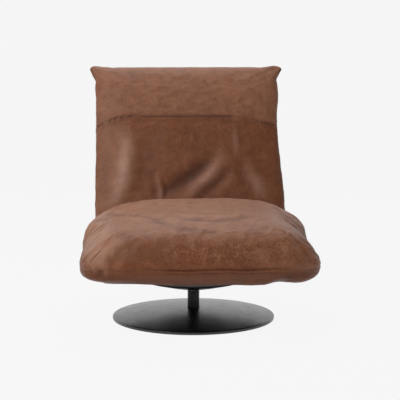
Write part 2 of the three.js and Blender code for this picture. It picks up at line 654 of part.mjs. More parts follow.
// Swivel: spindle in the bushes, and the welded bracket that carries the pivot, springs and stops
function cheekShape() {
  const top = cheekEndLow + cheekEndHeight;
  const shape = new THREE.Shape();
  shape.moveTo(-cheekReach, cheekEndLow);
  shape.lineTo(-bracketFloorHalf / 2, bracketFloorBottom);
  shape.lineTo(bracketFloorHalf / 2, bracketFloorBottom);
  shape.lineTo(cheekReach, cheekEndLow);
  shape.lineTo(cheekReach, top);
  shape.absarc(0, pivotHeight, pivotBossRadius, Math.PI / 4, (3 * Math.PI) / 4);
  shape.lineTo(-cheekReach, top);
  return shape;
}
function makeSwivel() {
  const washerHole = spindleRadius + seatGap;
  const washerRadius = columnRadius + washerLip;
  const washer = ring(washerHole, washerRadius, washerBottom, washerBottom + washerThickness, columnSides);
  piece(swivel, "thrust_washer", washer, greySteel);

  const spindleHeadRadius = spindleRadius + spindleHeadLip;
  const groove = spindleRadius - clipGrooveDepth;
  const grooveLow = spindleFloor + clipInset;
  const grooveHigh = grooveLow + clipThickness + seatGap;
  const spindle = revolve([
    [0, spindleFloor], [spindleRadius - spindleChamfer, spindleFloor],
    [spindleRadius, spindleFloor + spindleChamfer], [spindleRadius, grooveLow], [groove, grooveLow],
    [groove, grooveHigh], [spindleRadius, grooveHigh], [spindleRadius, spindleHeadLow],
    [spindleHeadRadius, spindleHeadLow], [spindleHeadRadius, spindleHeadHigh - spindleChamfer],
    [spindleHeadRadius - spindleChamfer, spindleHeadHigh], [0, spindleHeadHigh],
  ], columnSides);
  piece(swivel, "spindle", spindle, greySteel);
  const clipLow = grooveLow + seatGap / 2;
  const clip = splitRing(groove + seatGap, groove + seatGap + clipWidth, clipLow, clipLow + clipThickness);
  piece(swivel, "spindle_clip", clip, greySteel);

  const cheek = cheekShape();
  const floorHalf = cheekInside + weldBite;
  const trays = [-1, 1].map((side) => {
    const near = side * (springOffset - springOutside - trayLip);
    const far = side * (cheekReach - weldBite);
    return block(-floorHalf, floorHalf, Math.min(near, far), Math.max(near, far), cheekEndLow, trayTop);
  });
  const floorPlate = block(
    -floorHalf, floorHalf, -bracketFloorHalf, bracketFloorHalf, bracketFloorBottom, bracketFloorTop);
  const boss = rod(bracketBossRadius, bracketBottom, bracketFloorBottom + weldBite, columnSides);
  const welded = join(
    plateAcross(cheek, -bracketHalfWidth, -cheekInside),
    plateAcross(cheek, cheekInside, bracketHalfWidth),
    floorPlate, boss, ...trays);
  const spindleHole = rod(
    spindleRadius + seatGap, bracketBottom - cutOverrun, bracketFloorTop + cutOverrun, columnSides);
  const pinReach = bracketHalfWidth + cutOverrun;
  const pinHole = rod(pinRadius + seatGap, -pinReach, pinReach, smallSides)
    .rotateY(Math.PI / 2).translate(0, 0, pivotHeight);
  const studHoles = [-springOffset, springOffset].map((y) =>
    rod(stopStudRadius + seatGap, cheekEndLow - cutOverrun, trayTop + cutOverrun, smallSides).translate(0, y, 0));
  piece(swivel, "rocker_bracket", cut(welded, spindleHole, pinHole, ...studHoles), blackSteel);

  // Pivot pin, lying along X: head at the left, clip in a groove at the right
  const flangeOutside = earOutside + seatGap + pivotFlangeThickness;
  const headInside = flangeOutside + seatGap;
  const pinGroove = pinRadius - pinGrooveDepth;
  const pinGrooveEnd = headInside + pinClipThickness + seatGap;
  const pinEnd = pinGrooveEnd + pinTail;
  const pin = revolve([
    [0, -headInside - pinHeadThickness], [pinHeadRadius, -headInside - pinHeadThickness],
    [pinHeadRadius, -headInside], [pinRadius, -headInside], [pinRadius, headInside],
    [pinGroove, headInside], [pinGroove, pinGrooveEnd], [pinRadius, pinGrooveEnd],
    [pinRadius, pinEnd - spindleChamfer], [pinRadius - spindleChamfer, pinEnd], [0, pinEnd],
  ], smallSides);
  const pinMesh = piece(swivel, "pivot_pin", pin, greySteel);
  const clipStart = headInside + seatGap / 2;
  const pinClip = splitRing(
    pinGroove + seatGap, pinGroove + seatGap + pinClipWidth, clipStart, clipStart + pinClipThickness);
  const clipMesh = piece(swivel, "pin_clip", pinClip, greySteel);
  [pinMesh, clipMesh].forEach((mesh) => {
    mesh.rotation.y = Math.PI / 2;
    mesh.position.z = pivotHeight;
  });

  // Rubber stops: each ends just under the seat plate at full rock
  const stops = [["stop_front", -1, rockForwardAngle], ["stop_rear", 1, rockBackAngle]];
  stops.forEach(([name, side, angle]) => {
    const edge = side * (springOffset + stopRadius);
    const top = swing(edge, seatPlateHeight, side * angle)[1] - 2 * seatGap;
    const stop = revolve([
      [0, cheekEndLow - seatGap], [stopStudRadius, cheekEndLow - seatGap], [stopStudRadius, springFloor],
      [stopRadius, springFloor], [stopRadius - stopTaper, top], [0, top],
    ], smallSides);
    piece(swivel, name, stop, blackRubber).position.y = side * springOffset;
  });
}

// A coil spring from floor to ceiling: one tube of square ends wound on a helix
function coilPoint(turn, height) {
  const angle = turn * 2 * Math.PI;
  const climb = springWireRadius + (turn / springTurns) * (height - 2 * springWireRadius);
  return new THREE.Vector3(springRadius * Math.cos(angle), springRadius * Math.sin(angle), climb);
}
function coilSpring(height) {
  const steps = springTurns * coilSteps;
  const stations = [];
  for (let i = 0; i <= steps; i++) stations.push(coilPoint(i / coilSteps, height));
  const vertices = [];
  const wire = springWireRadius;
  stations.forEach((middle, i) => {
    const outward = new THREE.Vector3(middle.x, middle.y, 0).normalize();
    const before = stations[Math.max(i - 1, 0)];
    const after = stations[Math.min(i + 1, steps)];
    const along = after.clone().sub(before).normalize();
    const upward = outward.clone().cross(along).normalize();
    for (let j = 0; j < coilSides; j++) {
      const around = ((j + 0.25) * 2 * Math.PI) / coilSides;
      const out = outward.clone().multiplyScalar(wire * Math.cos(around));
      vertices.push(middle.clone().add(out).add(upward.clone().multiplyScalar(wire * Math.sin(around))));
    }
  });
  const faces = [];
  for (let i = 0; i < steps; i++) {
    for (let j = 0; j < coilSides; j++) {
      const a = i * coilSides + j;
      const b = i * coilSides + ((j + 1) % coilSides);
      faces.push(a, a + coilSides, b, b, a + coilSides, b + coilSides);
    }
  }
  const end = steps * coilSides;
  for (let j = 1; j < coilSides - 1; j++) {
    faces.push(0, j, j + 1, end, end + j + 1, end + j);
  }
  const geometry = new THREE.BufferGeometry();
  geometry.setAttribute("position", new THREE.Float32BufferAttribute(vertices.flatMap((v) => v.toArray()), 3));
  geometry.setIndex(faces);
  return geometry;
}
function leastCoilGap(height) {
  let least = Infinity;
  const points = [];
  for (let i = 0; i <= springTurns * coilGapSteps; i++) points.push(coilPoint(i / coilGapSteps, height));
  points.forEach((a, i) => {
    for (let j = i + coilGapSteps / 2; j < points.length; j++) least = Math.min(least, a.distanceTo(points[j]));
  });
  return least - 2 * springWireRadius;
}
function makeSprings() {
  [["front", -1], ["rear", 1]].forEach(([endName, end]) => {
    [["left", -1], ["right", 1]].forEach(([sideName, side]) => {
      const mesh = piece(swivel, "spring_" + endName + "_" + sideName, coilSpring(springHeight), greySteel);
      mesh.position.set(side * springSpread, end * springOffset, springFloor);
    });
  });
  console.log("least gap between spring turns: " + leastCoilGap(springHeight).toFixed(2) + " mm");
}

// Seat plate, its bushes, the pan and their fixings
const railBoltPlaces = [[-1, -1], [1, -1], [1, 1], [-1, 1]].map(([x, y]) => [x * railBoltSpread, y * railOffset]);
const panFlangeTop = railBottom - seatGap;
const panFlangeBottom = panFlangeTop - panWall;
const panScrewCircle = panRadius + panFlangeWidth / 2;
const panScrewSpread = Math.sqrt(panScrewCircle ** 2 - railOffset ** 2);
const panScrewPlaces = railBoltPlaces.map(([x, y]) => [Math.sign(x) * panScrewSpread, y]);

function earShape() {
  const top = seatPlateHeight + weldBite;
  const shape = new THREE.Shape();
  shape.moveTo(earTopHalf, seatPlateHeight);
  shape.lineTo(earTopHalf, top);
  shape.lineTo(-earTopHalf, top);
  shape.lineTo(-earTopHalf, seatPlateHeight);
  shape.absarc(0, pivotHeight, pivotBossRadius, (180 - earFlare) * degree, (360 + earFlare) * degree);
  return shape;
}
function makeMechanismTop() {
  const outline = roundedRectangle(
    seatPlateHalfWidth, -seatPlateHalfDepth, seatPlateHalfDepth, seatPlateCorner);
  const sheet = new THREE.ExtrudeGeometry(outline, { depth: seatPlateThickness, bevelEnabled: false })
    .translate(0, 0, seatPlateHeight);
  const ear = earShape();
  const plate = join(sheet, plateAcross(ear, -earOutside, -earInside), plateAcross(ear, earInside, earOutside));
  const boltHoles = railBoltPlaces.map(([x, y]) =>
    rod(boltRadius + boltClearance, seatPlateHeight - cutOverrun, strapBottom + cutOverrun, smallSides)
      .translate(x, y, 0));
  const bore = rod(seatPlateBore, seatPlateHeight - weldBite, railBottom + cutOverrun, columnSides);
  const bushOutside = pinRadius + seatGap + bushWall;
  const earHole = rod(bushOutside + seatGap, -earOutside - cutOverrun, earOutside + cutOverrun, smallSides)
    .rotateY(Math.PI / 2).translate(0, 0, pivotHeight);
  piece(seat, "seat_plate", cut(plate, bore, earHole, ...boltHoles), blackSteel);

  const bushBore = pinRadius + seatGap;
  const flangeStart = earOutside + seatGap;
  const bushProfile = [
    [bushBore, earInside], [bushOutside, earInside], [bushOutside, flangeStart],
    [pivotFlangeRadius, flangeStart], [pivotFlangeRadius, flangeStart + pivotFlangeThickness],
    [bushBore, flangeStart + pivotFlangeThickness], [bushBore, earInside],
  ];
  [["left", -1], ["right", 1]].forEach(([name, side]) => {
    const mesh = piece(seat, "pivot_bush_" + name, revolve(bushProfile, smallSides), nylon);
    mesh.rotation.y = (side * Math.PI) / 2;
    mesh.position.z = pivotHeight;
  });

  const boltLength = railBottom + railHeight + seatGap - seatPlateHeight;
  railBoltPlaces.forEach(([x, y], i) => {
    const bolt = hexHeadBolt(boltRadius, boltHeadRadius, boltHeadHeight, boltLength);
    piece(seat, "plate_bolt_" + (i + 1), bolt, greySteel).position.set(x, y, seatPlateHeight - seatGap);
  });

  // Pan: a shallow cone with its rim turned up and a flange that screws to the rails
  const rimLow = panFloorHeight + panSlopeShare * (panRadius - panBend - panHoleRadius);
  const rimSide = rimLow + panBend;
  const innerRim = panRadius - panWall;
  const flangeEdge = panRadius + panFlangeWidth;
  const panProfile = [
    [panHoleRadius, panFloorHeight], [panRadius - panBend, rimLow],
    [panRadius - panBend * (1 - Math.SQRT1_2), rimLow + panBend * (1 - Math.SQRT1_2)],
    [panRadius, rimSide], [panRadius, panFlangeBottom], [flangeEdge, panFlangeBottom],
    [flangeEdge, panFlangeTop], [innerRim, panFlangeTop], [innerRim, rimSide],
    [innerRim - panBend * (1 - Math.SQRT1_2), rimLow + panBend * (1 - Math.SQRT1_2) + panWall / 2],
    [panRadius - panBend - panWall / 2, rimLow + panWall], [panHoleRadius, panFloorHeight + panWall],
    [panHoleRadius, panFloorHeight],
  ];
  const screwHoles = panScrewPlaces.map(([x, y]) =>
    rod(panScrewRadius + boltClearance, panFlangeBottom - cutOverrun, panFlangeTop + weldBite, smallSides)
      .translate(x, y, 0));
  piece(seat, "mechanism_pan", cut(solid(revolve(panProfile, discSides)), ...screwHoles), blackSteel);
  panScrewPlaces.forEach(([x, y], i) => {
    const screw = revolve([
      [0, -panScrewHeadHeight], [panScrewHeadRadius / 2, -panScrewHeadHeight], [panScrewHeadRadius, 0],
      [panScrewRadius, 0], [panScrewRadius, panScrewGrip], [0, panScrewGrip],
    ], smallSides);
    piece(seat, "pan_screw_" + (i + 1), screw, greySteel).position.set(x, y, panFlangeBottom - seatGap);
  });
}

// Frame: two side tubes bent up into the back, cross tubes and box rails coped onto them, webbing
function sideTubeStations() {
  const bend = (90 - backLean) * degree;
  const tangent = frameBend * Math.tan(bend / 2);
  const corner = uprightFoot[1];
  const stations = [new THREE.Vector3(0, frameFront - sideTubeOverhang, tubeHeight)];
  for (let i = 0; i <= bendSteps; i++) {
    const turned = (bend * i) / bendSteps;
    const y = corner - tangent + frameBend * Math.sin(turned);
    stations.push(new THREE.Vector3(0, y, tubeHeight + frameBend * (1 - Math.cos(turned))));
  }
  stations.push(new THREE.Vector3(...onBack(0, uprightEnd, uprightBehind)));
  return stations;
}
function copedBetweenSides(member) {
  const cutters = [-1, 1].map((side) =>
    tubeAlong(sideTubeStations(), tubeRadius + seatGap).translate(side * sideTubeSpread, 0, 0));
  return cut(member, ...cutters);
}
function crossTube(y, z) {
  const length = 2 * sideTubeSpread;
  const options = { depth: length, bevelEnabled: false, curveSegments: arcSteps };
  return new THREE.ExtrudeGeometry(circleShape(tubeRadius, tubeRadius - tubeWall), options)
    .rotateY(Math.PI / 2).translate(-length / 2, y, z);
}
const topTubeAlong = uprightEnd - topTubeInset;
function makeFrame() {
  [["left", -1], ["right", 1]].forEach(([name, side]) => {
    const tube = tubeAlong(sideTubeStations(), tubeRadius, tubeRadius - tubeWall);
    piece(seat, "side_tube_" + name, tube, blackSteel).position.x = side * sideTubeSpread;
  });
  const lumbar = onBack(0, lumbarAlong, uprightBehind);
  const top = onBack(0, topTubeAlong, uprightBehind);
  const crossPlaces = [
    ["front_cross_tube", frameFront, tubeHeight],
    ["lumbar_cross_tube", lumbar[1], lumbar[2]],
    ["top_cross_tube", top[1], top[2]],
  ];
  crossPlaces.forEach(([name, y, z]) => {
    piece(seat, name, copedBetweenSides(solid(crossTube(y, z))), blackSteel);
  });
  [["front", -1], ["rear", 1]].forEach(([name, side]) => {
    const y = side * railOffset;
    const length = sideTubeSpread;
    const outer = block(-length, length, y - railHalfDepth, y + railHalfDepth, railBottom, railBottom + railHeight);
    const inner = block(
      -length - cutOverrun, length + cutOverrun, y - railHalfDepth + railWall, y + railHalfDepth - railWall,
      railBottom + railWall, railBottom + railHeight - railWall);
    const reach = [railBottom - cutOverrun, railBottom + railHeight + cutOverrun];
    const boltHoles = railBoltPlaces.map(([x, by]) =>
      rod(boltRadius + boltClearance, ...reach, smallSides).translate(x, by, 0));
    const screwHoles = panScrewPlaces.map(([x, by]) =>
      rod(panScrewRadius + boltClearance, railBottom - cutOverrun, railBottom + railHeight / 2, smallSides)
        .translate(x, by, 0));
    const rail = copedBetweenSides(cut(solid(outer), inner, ...boltHoles, ...screwHoles));
    piece(seat, "seat_rail_" + name, rail, blackSteel);
  });
}
function makeWebbing() {
  const strap = () => new THREE.BoxGeometry(2 * sideTubeSpread, strapWidth, strapThickness);
  const seatPitch = (railOffset - frameFront) / seatStrapCount;
  for (let i = 0; i < seatStrapCount; i++) {
    const mesh = piece(seat, "seat_strap_" + (i + 1), strap(), webbing);
    mesh.position.set(0, frameFront + (i + 0.5) * seatPitch, strapBottom + strapThickness / 2);
  }
  const behind = uprightBehind - tubeRadius - seatGap - strapThickness / 2;
  const backPitch = (topTubeAlong - lumbarAlong) / backStrapCount;
  for (let i = 0; i < backStrapCount; i++) {
    const mesh = piece(seat, "back_strap_" + (i + 1), strap(), webbing);
    mesh.position.set(...onBack(0, lumbarAlong + (i + 0.5) * backPitch, behind));
    mesh.rotation.x = Math.PI / 2 - backLean * degree;
  }
}

// Upholstery: the seat fits against the back's front face, and both are open below for the frame
function makeUpholstery() {
  const room = frameRoomBlock();
  const pocket = uprightPocket();
  const below = belowUnderside();
  const bends = [-1, 1].map((side) =>
    tubeAlong(sideTubeStations(), tubeRadius + frameRoom).translate(side * sideTubeSpread, 0, 0));
  const seatShell = seatBody(0).subtract(seatBody(leatherThickness));
  const hemHalf = seatHalfWidth - hemWidth;
  const opening = block(
    -hemHalf, hemHalf, seatFront + hemWidth, seatRear, cushionBottom - cutOverrun,
    cushionBottom + leatherThickness + weldBite);
  piece(seat, "seat_cover", cut(seatShell, opening, room), leather);

  const foamInset = leatherThickness + foamGap;
  piece(seat, "seat_foam", cut(seatBody(foamInset), room), foam);

  const backShell = backBody(0).subtract(backBody(leatherThickness));
  piece(seat, "back_cover", cut(backShell, below, room), leather);
  piece(seat, "back_foam", cut(backBody(foamInset), below, room, pocket, ...bends), foam);

  const rearBehind = backThicknessAt(alongAt(cushionBottom, backFootThickness));
  const rear = onBack(0, alongAt(cushionBottom, rearBehind), rearBehind)[1] - dustInset;
  const front = frameFront - sideTubeOverhang - frameRoom - dustLap;
  const dustOutline = roundedRectangle(hemHalf + dustLap, front, rear, dustCorner);
  const panHole = new THREE.Path().absarc(0, 0, panRadius + seatGap, 0, 2 * Math.PI, true);
  dustOutline.holes.push(panHole);
  const dust = new THREE.ExtrudeGeometry(dustOutline, {
    depth: dustThickness, bevelEnabled: false, curveSegments: discSides / 2,
  }).translate(0, 0, cushionBottom - seatGap - dustThickness);
  piece(seat, "dust_cover", dust, blackCloth);
}

makeBase();
makeSwivel();
makeSprings();
makeMechanismTop();
makeFrame();
makeWebbing();
makeUpholstery();

export default chair;
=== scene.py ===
import math

import bpy
import numpy as np
from mathutils import Matrix, Vector
from mathutils.bvhtree import BVHTree


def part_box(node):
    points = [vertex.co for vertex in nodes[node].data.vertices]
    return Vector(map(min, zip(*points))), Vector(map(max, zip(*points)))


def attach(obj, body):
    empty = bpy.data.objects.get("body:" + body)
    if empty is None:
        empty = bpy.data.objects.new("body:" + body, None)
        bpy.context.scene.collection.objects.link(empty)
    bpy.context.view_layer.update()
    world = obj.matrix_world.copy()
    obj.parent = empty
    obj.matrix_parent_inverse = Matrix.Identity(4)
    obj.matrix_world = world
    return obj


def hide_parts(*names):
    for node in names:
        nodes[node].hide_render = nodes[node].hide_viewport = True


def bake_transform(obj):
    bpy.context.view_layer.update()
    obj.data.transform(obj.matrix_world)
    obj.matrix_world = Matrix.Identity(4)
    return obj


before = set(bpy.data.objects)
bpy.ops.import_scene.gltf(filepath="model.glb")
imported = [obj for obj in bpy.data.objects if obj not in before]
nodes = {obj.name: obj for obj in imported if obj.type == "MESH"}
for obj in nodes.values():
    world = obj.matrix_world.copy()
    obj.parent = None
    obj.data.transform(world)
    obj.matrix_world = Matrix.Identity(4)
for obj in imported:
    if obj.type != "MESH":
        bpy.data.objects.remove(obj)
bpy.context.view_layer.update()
print("frame:", len(nodes), "nodes")

# Camera: a low eye in front of the chair, a little to its left; degrees, metres, and the focal length in pixels
camera = {"turn": -3.5, "distance": 4.5, "height": 0.989, "down": 6.96, "aim": 0.31, "focal": 1229, "sensor": 36,
          "image": 400}


# Stands at the distance along the turned direction, looks back along it, then a little aside and down
def makeCamera():
    turn, down, aim = (math.radians(camera[k]) for k in ("turn", "down", "aim"))
    data = bpy.data.cameras.new("camera")
    data.sensor_width = camera["sensor"]
    data.lens = camera["focal"] * camera["sensor"] / camera["image"]
    made = bpy.data.objects.new("camera", data)
    bpy.context.scene.collection.objects.link(made)
    place = Vector((math.sin(turn), -math.cos(turn), 0)) * camera["distance"] + Vector((0, 0, camera["height"]))
    made.matrix_world = Matrix.Translation(place) @ Matrix.Rotation(turn - aim, 4, "Z") @ Matrix.Rotation(
        math.pi / 2 - down, 4, "X")
    bpy.context.scene.camera = made


makeCamera()
print("camera in place")


# Smooth-shaded mesh object from an array of points and an array or a list of faces
def makeMesh(name, points, faces):
    mesh = bpy.data.meshes.new(name)
    mesh.from_pydata(points.tolist(), [], faces.tolist() if isinstance(faces, np.ndarray) else faces)
    mesh.polygons.foreach_set("use_smooth", np.ones(len(mesh.polygons), bool))
    mesh.update()
    made = bpy.data.objects.new(name, mesh)
    bpy.context.scene.collection.objects.link(made)
    return made


def vectorsOf(mesh, field):
    flat = np.empty(len(mesh.vertices) * 3)
    mesh.vertices.foreach_get(field, flat)
    return flat.reshape(-1, 3)


# One value per point for each named attribute; the leather's colours follow them
def setValues(made, **fields):
    for name, values in fields.items():
        attribute = made.data.attributes.new(name, "FLOAT", "POINT")
        attribute.data.foreach_set("value", np.asarray(values, np.float32))


# Quads of a grid of rows by columns; a closed direction joins its last line to its first
def gridQuads(rows, columns, closedRows=False, closedColumns=False):
    i = np.arange(rows if closedRows else rows - 1)[:, None]
    j = np.arange(columns if closedColumns else columns - 1)[None, :]
    k, m = (i + 1) % rows, (j + 1) % columns
    return np.stack([i * columns + j, k * columns + j, k * columns + m, i * columns + m], -1).reshape(-1, 4)


# From 0 at low to 1 at high, by three times the square less twice the cube; low may be the larger one
def smoothStep(low, high, value):
    t = np.clip((value - low) / (high - low), 0, 1)
    return t * t * (3 - 2 * t)


# The product of one smooth step for each value and its (low, high)
def within(windows, *values):
    return math.prod(smoothStep(*window, value) for window, value in zip(windows, values))


# A start and then each (step, low, high), added by its smooth step
def stepped(start, steps, value):
    return start + sum(step * smoothStep(low, high, value) for step, low, high in steps)


# 1 at the middle, falling as e to the power of minus the squared distance in widths
def bell(value, middle, width):
    return np.exp(-(((value - middle) / width) ** 2))


# A closed profile of (radius, height) carried round Z: a point is (r cos t, r sin t, z)
def revolved(name, profile, sides):
    profile = np.asarray(profile, float)
    t = np.linspace(0, 2 * math.pi, sides, endpoint=False)[:, None]
    r, z = profile[None, :, 0], profile[None, :, 1]
    points = np.stack([r * np.cos(t), r * np.sin(t), z + 0 * t], -1).reshape(-1, 3)
    return makeMesh(name, points, gridQuads(sides, len(profile), True, True))


# Points at a radius about a centre, from one angle to another in degrees
def arc(centre, radius, start, end, count):
    t = np.radians(np.linspace(start, end, count))
    return np.stack([centre[0] + radius * np.cos(t), centre[1] + radius * np.sin(t)], 1)


# A profile from rows that are each a point, or an arc's centre, radius, start, end and count
def profileOf(rows):
    return np.concatenate([arc(row[:2], *row[2:]) if len(row) > 2 else [row] for row in rows])


# A tube along a line: each ring lies across the line's direction, from its level side and its upward side
def tube(line, radius, sides):
    ahead = np.gradient(line, axis=0)
    ahead /= np.linalg.norm(ahead, axis=1, keepdims=True)
    side = np.cross(ahead, [0, 0, 1.0])
    side /= np.linalg.norm(side, axis=1, keepdims=True)
    up = np.cross(side, ahead)
    t = np.linspace(0, 2 * math.pi, sides, endpoint=False)[:, None]
    rings = line[:, None] + radius * (side[:, None] * np.cos(t) + up[:, None] * np.sin(t))
    return rings.reshape(-1, 3), gridQuads(len(line), sides, False, True)[:, ::-1]


# Points on the skin of a box whose lines lie at the given values, each point once, with outward quads
def boxSkin(*lines):
    sizes = [len(v) for v in lines]
    i, j, k = np.meshgrid(*[np.arange(n) for n in sizes], indexing="ij")
    skin = (i % (sizes[0] - 1) == 0) | (j % (sizes[1] - 1) == 0) | (k % (sizes[2] - 1) == 0)
    number = np.full(skin.shape, -1)
    number[skin] = np.arange(skin.sum())
    points = np.stack([lines[0][i[skin]], lines[1][j[skin]], lines[2][k[skin]]], 1)
    quads = []
    for axis in range(3):
        for end in (0, -1):
            sheet = np.take(number, end, axis)
            face = np.stack([sheet[:-1, :-1], sheet[1:, :-1], sheet[1:, 1:], sheet[:-1, 1:]], -1).reshape(-1, 4)
            quads.append(face if (end == -1) != (axis == 1) else face[:, ::-1])
    return points, np.concatenate(quads)


# The direction (u, v, w) drawn out to |plan|^q + |w|^q = 1, where plan is the p-norm of u and v
def drawnOut(u, v, w, p, q):
    plan = (np.abs(u) ** p + np.abs(v) ** p) ** (1 / p)
    reach = (plan**q + np.abs(w) ** q) ** (-1 / q)
    return u * reach, v * reach, w * reach


# A smooth random field: a sum of sine waves in seeded directions, from -1 to 1 or so
def waves(points, length, seed, count=14):
    draw = np.random.default_rng(seed)
    direction = draw.normal(size=(3, count))
    direction /= np.linalg.norm(direction, axis=0)
    rate = 2 * math.pi / (length * draw.uniform(0.7, 1.5, count))
    phase = draw.uniform(0, 2 * math.pi, count)
    return np.sin(points @ (direction * rate) + phase).sum(1) / math.sqrt(count)


# The fields of several (height, length, seed) together
def fineWaves(points, rows):
    return sum(height * waves(points, length, seed) for height, length, seed in rows)


# Height of a stroke at flat points: a bell across its polyline in mm, tapered at both of its ends
def stroke(flat, line, width, height, taper=0.25):
    line, flat = np.asarray(line, float), flat * 1000
    steps = np.linalg.norm(np.diff(line, axis=0), axis=1)
    starts = np.concatenate([[0], np.cumsum(steps)])
    best = np.full(len(flat), np.inf)
    share = np.zeros(len(flat))
    for n in range(len(steps)):
        along = (line[n + 1] - line[n]) / steps[n]
        t = np.clip((flat - line[n]) @ along, 0, steps[n])
        away = np.linalg.norm(flat - line[n] - t[:, None] * along, axis=1)
        nearer = away < best
        best = np.where(nearer, away, best)
        share = np.where(nearer, (starts[n] + t) / starts[-1], share)
    ends = np.clip(np.minimum(share, 1 - share) / taper, 0, 1)
    return height * bell(best, 0, width) * np.sin(ends * math.pi / 2)


# Leather skins, in metres; the sizes of both forms are those of the frame. A pair of numbers is where a smooth step
# starts and ends: in shares from -1 to 1 of the form's depth (b) or in metres
lean = math.radians(24)
leanSine, leanCosine = math.sin(lean), math.cos(lean)
backFoot = {"depth": 0.0567, "height": 0.198}
seatForm = {
    "halfWidth": 0.411, "front": -0.458, "rear": 0.206, "seam": 0.262, "crown": 0.175, "climb": 0.16, "arch": 0.17,
    "foot": 0.072, "underside": 0.1982, "plan": 7, "upper": 2.75, "lower": 5, "wrap": 0.03, "gap": 0.0015,
    # the arch eases off towards the back, by these shares at the left and at the right
    "ease": (-0.1, 0.7), "easeLeft": 0.25, "easeRight": 0.75,
    # side, share and heights by which it swells near the top; share, height and width of its rear shoulder
    "sideFrom": (0.15, 0.4), "rearFrom": (-0.1, 0.35),
    "shoulders": [(1, 0.03, (0.36, 0.4), 0.072, 0.343, 0.038), (-1, 0.034, (0.36, 0.41), 0.048, 0.338, 0.034)],
    # the right side swells below the seam and draws in above it
    "lip": 0.022, "lipFrom": (0.2, 0.41), "lipAbove": (0.2, 0.25), "lipTurns": (0.27, 0.33),
    # the left side draws in above the seam, and a little at its waist
    "draw": 0.046, "drawAbove": (0.268, 0.325), "waist": 0.014, "waistAt": (0.15, 0.3), "waistBelow": (0.31, 0.28),
}
backForm = {
    "halfWidth": 0.367, "low": -0.17, "high": 0.808, "footThickness": 0.166, "headThickness": 0.120,
    "reach": 0.034, "rise": 0.027, "plan": 14, "crown": 4.2, "trim": 0.1985, "seam": 0.587,
    # the sides aren't quite alike: the right one spreads at the foot and is drawn in most below the seam
    "left": (-0.0026, [(-0.0042, -0.2, 0.5), (0.005, 0.72, 0.87)]),
    "right": (0.006, [(-0.0075, -0.36, -0.15), (-0.0145, -0.15, 0.5), (0.011, 0.5, 0.85)]),
    # ears: where they start across and along, how much their tips reach less, and how much they are pinched
    "earAcross": (0.8, 0.95), "earAlong": (0.895, 0.945), "tip": 0.3, "tipAlong": (0.95, 0.995), "pinch": 0.45,
    # the seam's droop at its ends, and where it starts on the right and on the left, with the curve's power
    "droop": 0.034, "droopEnd": 0.37, "droopRight": (0.08, 1.6), "droopLeft": (0.20, 2.4),
}


def faceDepthAt(height):
    return backFoot["depth"] + (height - backFoot["height"]) * leanSine / leanCosine


# Where the seat's rear stops: at the back's face less a gap, wrapped round it by the eighth power of x
def wallAt(x, z):
    wrap = seatForm["wrap"] * np.minimum(np.abs(x) / backForm["halfWidth"], 1) ** 8
    return faceDepthAt(z) + wrap - seatForm["gap"]


# A point of the back's own (x, along, behind) turned by the lean into the frame
def onBack(x, along, behind):
    return np.stack([
        x, backFoot["depth"] + along * leanSine + behind * leanCosine,
        backFoot["height"] + along * leanCosine - behind * leanSine], -1)


# The other way: points of the frame in the back's own (x, along, behind)
def inBack(points):
    y, z = points[:, 1] - backFoot["depth"], points[:, 2] - backFoot["height"]
    return np.stack([points[:, 0], y * leanSine + z * leanCosine, y * leanCosine - z * leanSine], -1)


# Seat skin: the drawn-out form about its seam, kept above the underside and in front of the back's face. Sat in for
# years, both sides draw in above the seam and swell into shoulders towards the back
def seatSkin(skin):
    form = seatForm
    u, v, w = np.sin(skin * math.pi / 2).T
    a, b, c = drawnOut(u, v, w, form["plan"], np.where(w > 0, form["upper"], form["lower"]))
    arch = form["arch"] * (1 - np.where(a > 0, form["easeRight"], form["easeLeft"]) * smoothStep(*form["ease"], b))
    crown = form["crown"] * (1 + form["climb"] * b) * (1 - arch * a**2)
    z = np.maximum(form["seam"] + np.where(c > 0, crown, form["foot"]) * c, form["underside"])
    x = a * form["halfWidth"]
    lip = form["lip"] * smoothStep(*form["lipFrom"], x) * smoothStep(*form["lipAbove"], z)
    fuller = 1 + lip * (1 - 2 * smoothStep(*form["lipTurns"], z))
    rear = smoothStep(*form["rearFrom"], b)
    for side, top, topHeights, share, height, width in form["shoulders"]:
        near = smoothStep(*form["sideFrom"], side * x)
        fuller += near * (top * smoothStep(*topHeights, z) + share * rear * bell(z, height, width))
    waist = form["waist"] * bell(b, *form["waistAt"]) * smoothStep(*form["waistBelow"], z)
    fuller -= smoothStep(*form["sideFrom"], -x) * (form["draw"] * smoothStep(*form["drawAbove"], z) + waist)
    middle, half = (form["front"] + form["rear"]) / 2, (form["rear"] - form["front"]) / 2
    return np.stack([x * fuller, np.minimum(middle + b * half, wallAt(x, z)), z], -1)


# Height of the back's seam along the back: level in the middle, it droops towards both sides
def seamAlong(x):
    (rightStart, rightPower), (leftStart, leftPower) = backForm["droopRight"], backForm["droopLeft"]
    start, power = np.where(x > 0, rightStart, leftStart), np.where(x > 0, rightPower, leftPower)
    return backForm["seam"] - backForm["droop"] * smoothStep(start, backForm["droopEnd"], np.abs(x)) ** power


def thicknessAt(along):
    foot, head = backForm["footThickness"], backForm["headThickness"]
    return foot + (head - foot) * along / backForm["high"]


